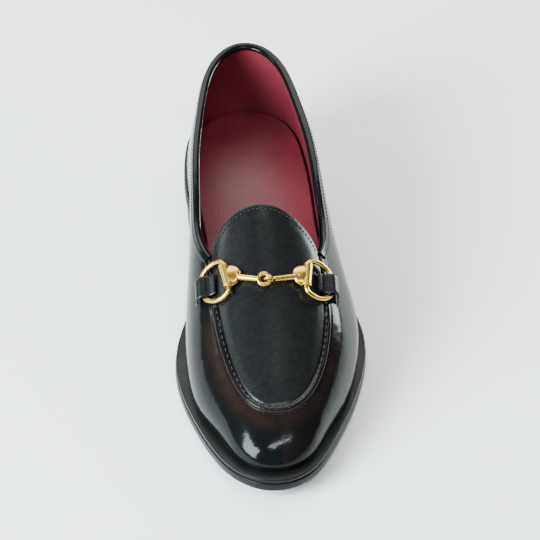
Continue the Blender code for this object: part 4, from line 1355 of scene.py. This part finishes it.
def joined(name, meshes):
    """Several meshes as one."""
    form = bmesh.new()
    for mesh in meshes:
        form.from_mesh(mesh)
    whole = bpy.data.meshes.new(name)
    form.to_mesh(whole)
    form.free()
    return whole


print("wire and lathe ready")


# %% Rings and bars
def make_ring(name, sign):
    """A D-shaped ring whose straight side turns in the bar's sleeve."""
    middle, out, toeward, _ = CHEEK_FRAMES[sign]
    corner = math.acos(-RING_OFFSET / RING_ROUND) - math.radians(RING_CORNER)
    points = []
    for angle in np.linspace(-corner, corner, RING_POINTS):
        points.append(middle + out * (RING_OFFSET + RING_ROUND * math.cos(angle))
                      + toeward * RING_ROUND * math.sin(angle))
    chord = math.sqrt(RING_ROUND ** 2 - RING_OFFSET ** 2) - RING_CHORD_INSET
    points += [middle + toeward * share for share in np.linspace(chord, -chord, 8)]
    mesh = wire_mesh(points, [RING_WIRE] * len(points), True)
    thing = add_mesh(name + "_wire", mesh, BRASS, 60)
    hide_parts(name)
    return thing


def sleeve_profile():
    """Radius and distance along the cheek's sleeve, filed round at both ends."""
    mirrored = tuple((radius, SLEEVE_LENGTH - reach) for radius, reach in SLEEVE_END[::-1])
    return SLEEVE_END + ((SLEEVE_RADIUS, SLEEVE_LENGTH / 2),) + mirrored


def paddle_profile():
    """Radius and distance along the paddle that joins bar and sleeve, round shouldered."""
    share = np.linspace(0.0, 1.0, PADDLE_ROWS)
    shoulder, tail = PADDLE_POWERS
    radius = BAR_THICK + (PADDLE_RADIUS - BAR_THICK) * (1.0 - share ** shoulder) ** tail
    return [PADDLE_FOOT] + [(r, PADDLE_LENGTH * s) for r, s in zip(radius, share)]


def make_bar(name, sign):
    """A bar with its cheek sleeve at one end and its eye at the other."""
    middle, out, toeward, _ = CHEEK_FRAMES[sign]
    link, across, ahead, up = link_frame()
    apart = sum(size[0] - size[1] for size in EYES.values()) - LINK_CLEARANCE
    reach, eye_wire = EYES[sign]
    eye = link + across * sign * apart / 2
    second = ahead if sign < 0 else up
    turn = np.linspace(0.0, 2 * math.pi, EYE_POINTS, endpoint=False)
    circle = [eye + reach * (across * math.cos(a) + second * math.sin(a)) for a in turn]
    shoulder = eye + across * sign * reach
    shares = np.linspace(0.0, 1.0, BAR_POINTS)
    line = [middle + (shoulder - middle) * share for share in shares]
    radii = BAR_THIN + (BAR_THICK - BAR_THIN) * (1.0 - shares) ** BAR_TAPER
    inward = unit(shoulder - middle)
    mesh = joined(name, [
        wire_mesh(line, radii, False),
        wire_mesh(circle, [eye_wire] * EYE_POINTS, True),
        turned_mesh(paddle_profile(), middle + inward * PADDLE_START, inward, toeward, PADDLE_FLAT),
        turned_mesh(sleeve_profile(), middle - toeward * SLEEVE_LENGTH / 2, toeward, out, 1.0),
    ])
    thing = add_mesh(name + "_casting", mesh, BRASS, 60)
    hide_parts(name)
    return thing


bit = [make_ring("ring_medial", -1.0), make_ring("ring_lateral", 1.0)]
bit += [make_bar("bar_medial", -1.0), make_bar("bar_lateral", 1.0)]
print("bit:", [thing.name for thing in bit])

# %% [markdown]
# ## Keepers
#
# Each keeper is a short strap over the far side of the ring, sewn to the vamp. Its section follows the
# last, arches over the wire and lies down again, and its edges are rounded off like folded leather.

# %% Keepers over the rings
KEEPER_WIDTH = 11.5
KEEPER_THICK = 1.2
KEEPER_COLUMNS = ("across", "rise")
KEEPER = (
    (-10.5, 1.0),
    (-8.0, 1.0),
    (-6.2, 1.3),
    (-5.1, 2.6),
    (-4.1, 4.0),
    (-2.5, 4.9),
    (-0.6, 5.1),
    (0.9, 4.8),
    (2.1, 3.7),
    (2.9, 2.3),
    (3.8, 1.3),
    (5.3, 1.0),
)
KEEPER_STEPS = 60
KEEPER_ROWS = 30
KEEPER_SMOOTHING = 5
KEEPER_SEAT = 0.05
KEEPER_ROUND = 0.45
KEEPER_END = 0.8
KEEPER_POWER = 14
WIRE_CLEARANCE = 0.15


def keeper_plan(sign):
    """Middle of a keeper and the slope factor that turns distance into plan distance."""
    reach, station = CHEEK_FRAMES[sign][3]
    return reach, station, outward(on_top(np.array([reach, station])))[2]


def keeper_line(sign, steps, offset):
    """Points and normals under a keeper at given distances across it."""
    reach, station, slope = keeper_plan(sign)
    plan = np.stack([reach + sign * steps * slope, np.full(len(steps), station + offset)], -1)
    foot = on_top(plan)
    return foot, outward(foot)


def keeper_rise(steps):
    """Height of a keeper's underside over the vamp."""
    return np.interp(steps, column(KEEPER, KEEPER_COLUMNS, "across"), column(KEEPER, KEEPER_COLUMNS, "rise"))


def make_keeper(name, sign):
    """A strap with rounded edges, arched over the ring's wire."""
    store = Points()
    steps = np.linspace(KEEPER[0][0], KEEPER[-1][0], KEEPER_STEPS)
    rise_here = keeper_rise(steps)
    padded = np.pad(rise_here, KEEPER_SMOOTHING // 2, "edge")
    rise_here = np.convolve(padded, np.ones(KEEPER_SMOOTHING) / KEEPER_SMOOTHING, "valid")
    rise_here = np.maximum(rise_here, keeper_rise(steps) - WIRE_CLEARANCE)
    offsets = KEEPER_WIDTH / 2 * np.sin(np.linspace(-math.pi / 2, math.pi / 2, KEEPER_ROWS))
    tops = []
    lows = []
    for offset in offsets:
        foot, up = keeper_line(sign, steps, offset)
        edge = np.abs(offset) / (KEEPER_WIDTH / 2)
        end = np.minimum(steps - steps[0], steps[-1] - steps) / KEEPER_END
        round_off = KEEPER_ROUND * (edge ** KEEPER_POWER + 1.0 - ease(end))
        tops.append(store.add(foot + up * (rise_here + KEEPER_THICK - round_off)[:, None]))
        lows.append(store.add(foot + up * (rise_here + KEEPER_SEAT)[:, None]))
    faces = strip(tops[0], lows[0], False) + strip(lows[-1], tops[-1], False)
    for rows in (tops, lows):
        for first, second in zip(rows, rows[1:]):
            faces += strip(first, second, False)
    for end in (0, -1):
        faces += strip([row[end] for row in tops], [row[end] for row in lows], False)
    thing = loft(name + "_strap", store, faces, APRON_CALF, 60)
    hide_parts(name)
    return thing


keepers = [make_keeper("keeper_medial", -1.0), make_keeper("keeper_lateral", 1.0)]
print("keepers:", [thing.name for thing in keepers])

# %% [markdown]
# ## Stitches
#
# A stitch is a short piece of thread that comes up from one hole and goes down the next. Each row is one
# mesh of small capsules laid along a line on the leather, because a texture would not catch the light on
# its bends. A capsule's rings have a place along it, a thickness and a lift, and a stitch has a pitch,
# length and radius.


# %% Rows of stitches
CAPSULE_SIDES = 6
CAPSULE = ((-0.5, 0.35, -0.5), (-0.32, 0.9, 0.15), (0.0, 1.0, 0.45), (0.32, 0.9, 0.15), (0.5, 0.35, -0.5))
FINE_STITCH = (2.4, 1.7, 0.22)
KEEPER_STITCH = (2.2, 1.6, 0.24)


def stitch_row(name, line, ups, pitch, length, radius):
    """A row of thread stitches along a line of points with their outward directions."""
    travelled = travel(line)
    total = int(travelled[-1] / pitch)
    middles = (np.arange(total) + 0.5) * travelled[-1] / total
    store = Points()
    faces = []
    for middle in middles:
        rings = []
        for place, thick, lift in CAPSULE:
            at = middle + place * length
            point = np.array([np.interp(at, travelled, line[:, k]) for k in range(3)])
            up = unit(np.array([np.interp(at, travelled, ups[:, k]) for k in range(3)]))
            ahead = np.array([np.interp(middle + 0.2, travelled, line[:, k])
                              - np.interp(middle - 0.2, travelled, line[:, k]) for k in range(3)])
            side = unit(np.cross(ahead, up))
            ring = [point + radius * (up * (lift + thick * math.sin(a)) + side * thick * math.cos(a))
                    for a in np.linspace(0.0, 2 * math.pi, CAPSULE_SIDES, endpoint=False)]
            rings.append(store.add(np.array(ring)))
        faces += [tuple(rings[0]), tuple(rings[-1][::-1])]
        for first, second in zip(rings, rings[1:]):
            faces += strip(first, second, True)
    thing = loft(name, store, faces, THREAD, 70)
    return thing, total


def seam_line(gap):
    """Points and normals along the seam at a distance from the apron's edge, lying on the leather."""
    line = []
    ups = []
    for k in range(FRONT_COLUMNS + 1):
        order = distance[::-1, k]
        point = np.array([np.interp(gap, order, base[::-1, k, axis]) for axis in range(3)])
        up = np.array([np.interp(gap, order, normal[::-1, k, axis]) for axis in range(3)])
        line.append(point + up * np.interp(gap, order, rise[::-1, k]))
        ups.append(up)
    return np.array(line), np.array(ups)


def edge_line(plan, inset, lift):
    """Points and normals on the apron beside its edge."""
    centre = np.array([ridge_shift(DISC_CENTRE), DISC_CENTRE])
    spokes = plan - centre
    plan = centre + spokes * (1.0 - inset / np.linalg.norm(spokes, axis=1, keepdims=True))
    foot = on_top(plan)
    up = outward(foot)
    return foot + up * lift, up


tongue_edge = tongue_plan(np.linspace(0.12, math.pi - 0.12, 240))
top, out, down = binding_frames()
rows = {
    "seam_stitches": (*seam_line(0.9), STITCH_PITCH, 2.6, 0.34),
    "tongue_stitches": (*edge_line(tongue_edge, 2.7, -0.18), *FINE_STITCH),
    "binding_stitches": (top + out * (GAP + BINDING_THICK) + down * (BINDING_OUTER - 1.3), out, *FINE_STITCH),
}
for name, sign in (("medial", -1.0), ("lateral", 1.0)):
    for place, edge in (("inner", KEEPER[0][0] + 1.4), ("outer", KEEPER[-1][0] - 1.0)):
        offsets = np.linspace(-KEEPER_WIDTH / 2 + 1.2, KEEPER_WIDTH / 2 - 1.2, 24)
        spots = [keeper_line(sign, np.array([edge]), offset) for offset in offsets]
        line = np.array([foot[0] + up[0] * (keeper_rise(edge) + KEEPER_THICK) for foot, up in spots])
        ups = np.array([up[0] for _, up in spots])
        rows["keeper_stitches_" + name + "_" + place] = (line, ups, *KEEPER_STITCH)
for name, settings in rows.items():
    print(name, stitch_row(name, *settings)[1], "stitches")

# %% [markdown]
# ## Camera, floor and light
#
# The shoe is seen from the front and above, about 42 degrees down, through a long lens. The floor is
# plain and pale. Black leather shows mostly what it mirrors, so each softbox stands where a highlight
# asks for one: a window at the left and a thin strip above for the toe, a short strip overhead and a
# small soft box at the left for the tongue, and one at the right for the lateral wall. The back light
# brightens the floor.

# %% Camera
CAMERA_PLACE = (-0.1050, -1.4103, 1.2057)
CAMERA_AIM = (0.0060, -0.1120, 0.0350)
CAMERA_LENS = 208.0
CAMERA_ROLL = 1.5


def aim(thing, target):
    """Turn a camera or a light toward a point."""
    thing.rotation_euler = (Vector(target) - thing.location).to_track_quat("-Z", "Y").to_euler()


camera = bpy.data.objects.new("camera", bpy.data.cameras.new("camera"))
camera.location = CAMERA_PLACE
camera.data.lens = CAMERA_LENS
camera.data.sensor_width = 36.0
camera.data.clip_end = 20.0
aim(camera, CAMERA_AIM)
camera.rotation_euler.rotate_axis("Z", math.radians(CAMERA_ROLL))
bpy.context.scene.collection.objects.link(camera)
bpy.context.scene.camera = camera
print("camera", round((Vector(CAMERA_PLACE) - Vector(CAMERA_AIM)).length, 2), "m away")


# %% Floor and lights
def make_floor():
    """A plain pale floor."""
    form = bmesh.new()
    bmesh.ops.create_grid(form, x_segments=1, y_segments=1, size=3.0)
    mesh = bpy.data.meshes.new("floor")
    form.to_mesh(mesh)
    form.free()
    material = new_finish("pale_floor", {"Base Color": from_hex("#fbfbfa"), "Roughness": 0.6})[0]
    mesh.materials.append(material)
    floor = bpy.data.objects.new("floor", mesh)
    bpy.context.scene.collection.objects.link(floor)


def softbox(name, place, size, power, colour):
    """A rectangular area light turned toward the shoe."""
    light = bpy.data.lights.new(name, "AREA")
    light.shape = "RECTANGLE"
    light.size, light.size_y = size
    light.energy = power
    light.color = from_hex(colour)[:3]
    lamp = bpy.data.objects.new(name, light)
    lamp.location = place
    aim(lamp, CAMERA_AIM)
    bpy.context.scene.collection.objects.link(lamp)


LIGHTS = (
    ("overhead_strip", (0.12, 0.06, 1.27), (0.04, 0.12), 0.9, "#f4fffb"),
    ("left_sky", (-1.02, 0.26, 0.68), (0.22, 0.22), 2.6, "#f2fffa"),
    ("left_window", (-0.98, -0.76, 0.70), (0.72, 0.74), 88.0, "#e4f5fb"),
    ("toe_strip", (0.22, -0.76, 1.17), (0.80, 0.035), 8.0, "#f0fafd"),
    ("right_wall", (1.20, 0.60, 0.32), (0.5, 0.4), 22.0, "#f2fffa"),
    ("back_light", (-0.2, 1.7, 1.9), (2.6, 1.8), 84.0, "#fffdf8"),
)
make_floor()
for settings in LIGHTS:
    softbox(*settings)
world_light = bpy.data.worlds.new("studio")
world_light.use_nodes = True
world_light.node_tree.nodes["Background"].inputs["Color"].default_value = from_hex("#f4f6f6")
world_light.node_tree.nodes["Background"].inputs["Strength"].default_value = 0.18
bpy.context.scene.world = world_light
print("lights:", [settings[0] for settings in LIGHTS])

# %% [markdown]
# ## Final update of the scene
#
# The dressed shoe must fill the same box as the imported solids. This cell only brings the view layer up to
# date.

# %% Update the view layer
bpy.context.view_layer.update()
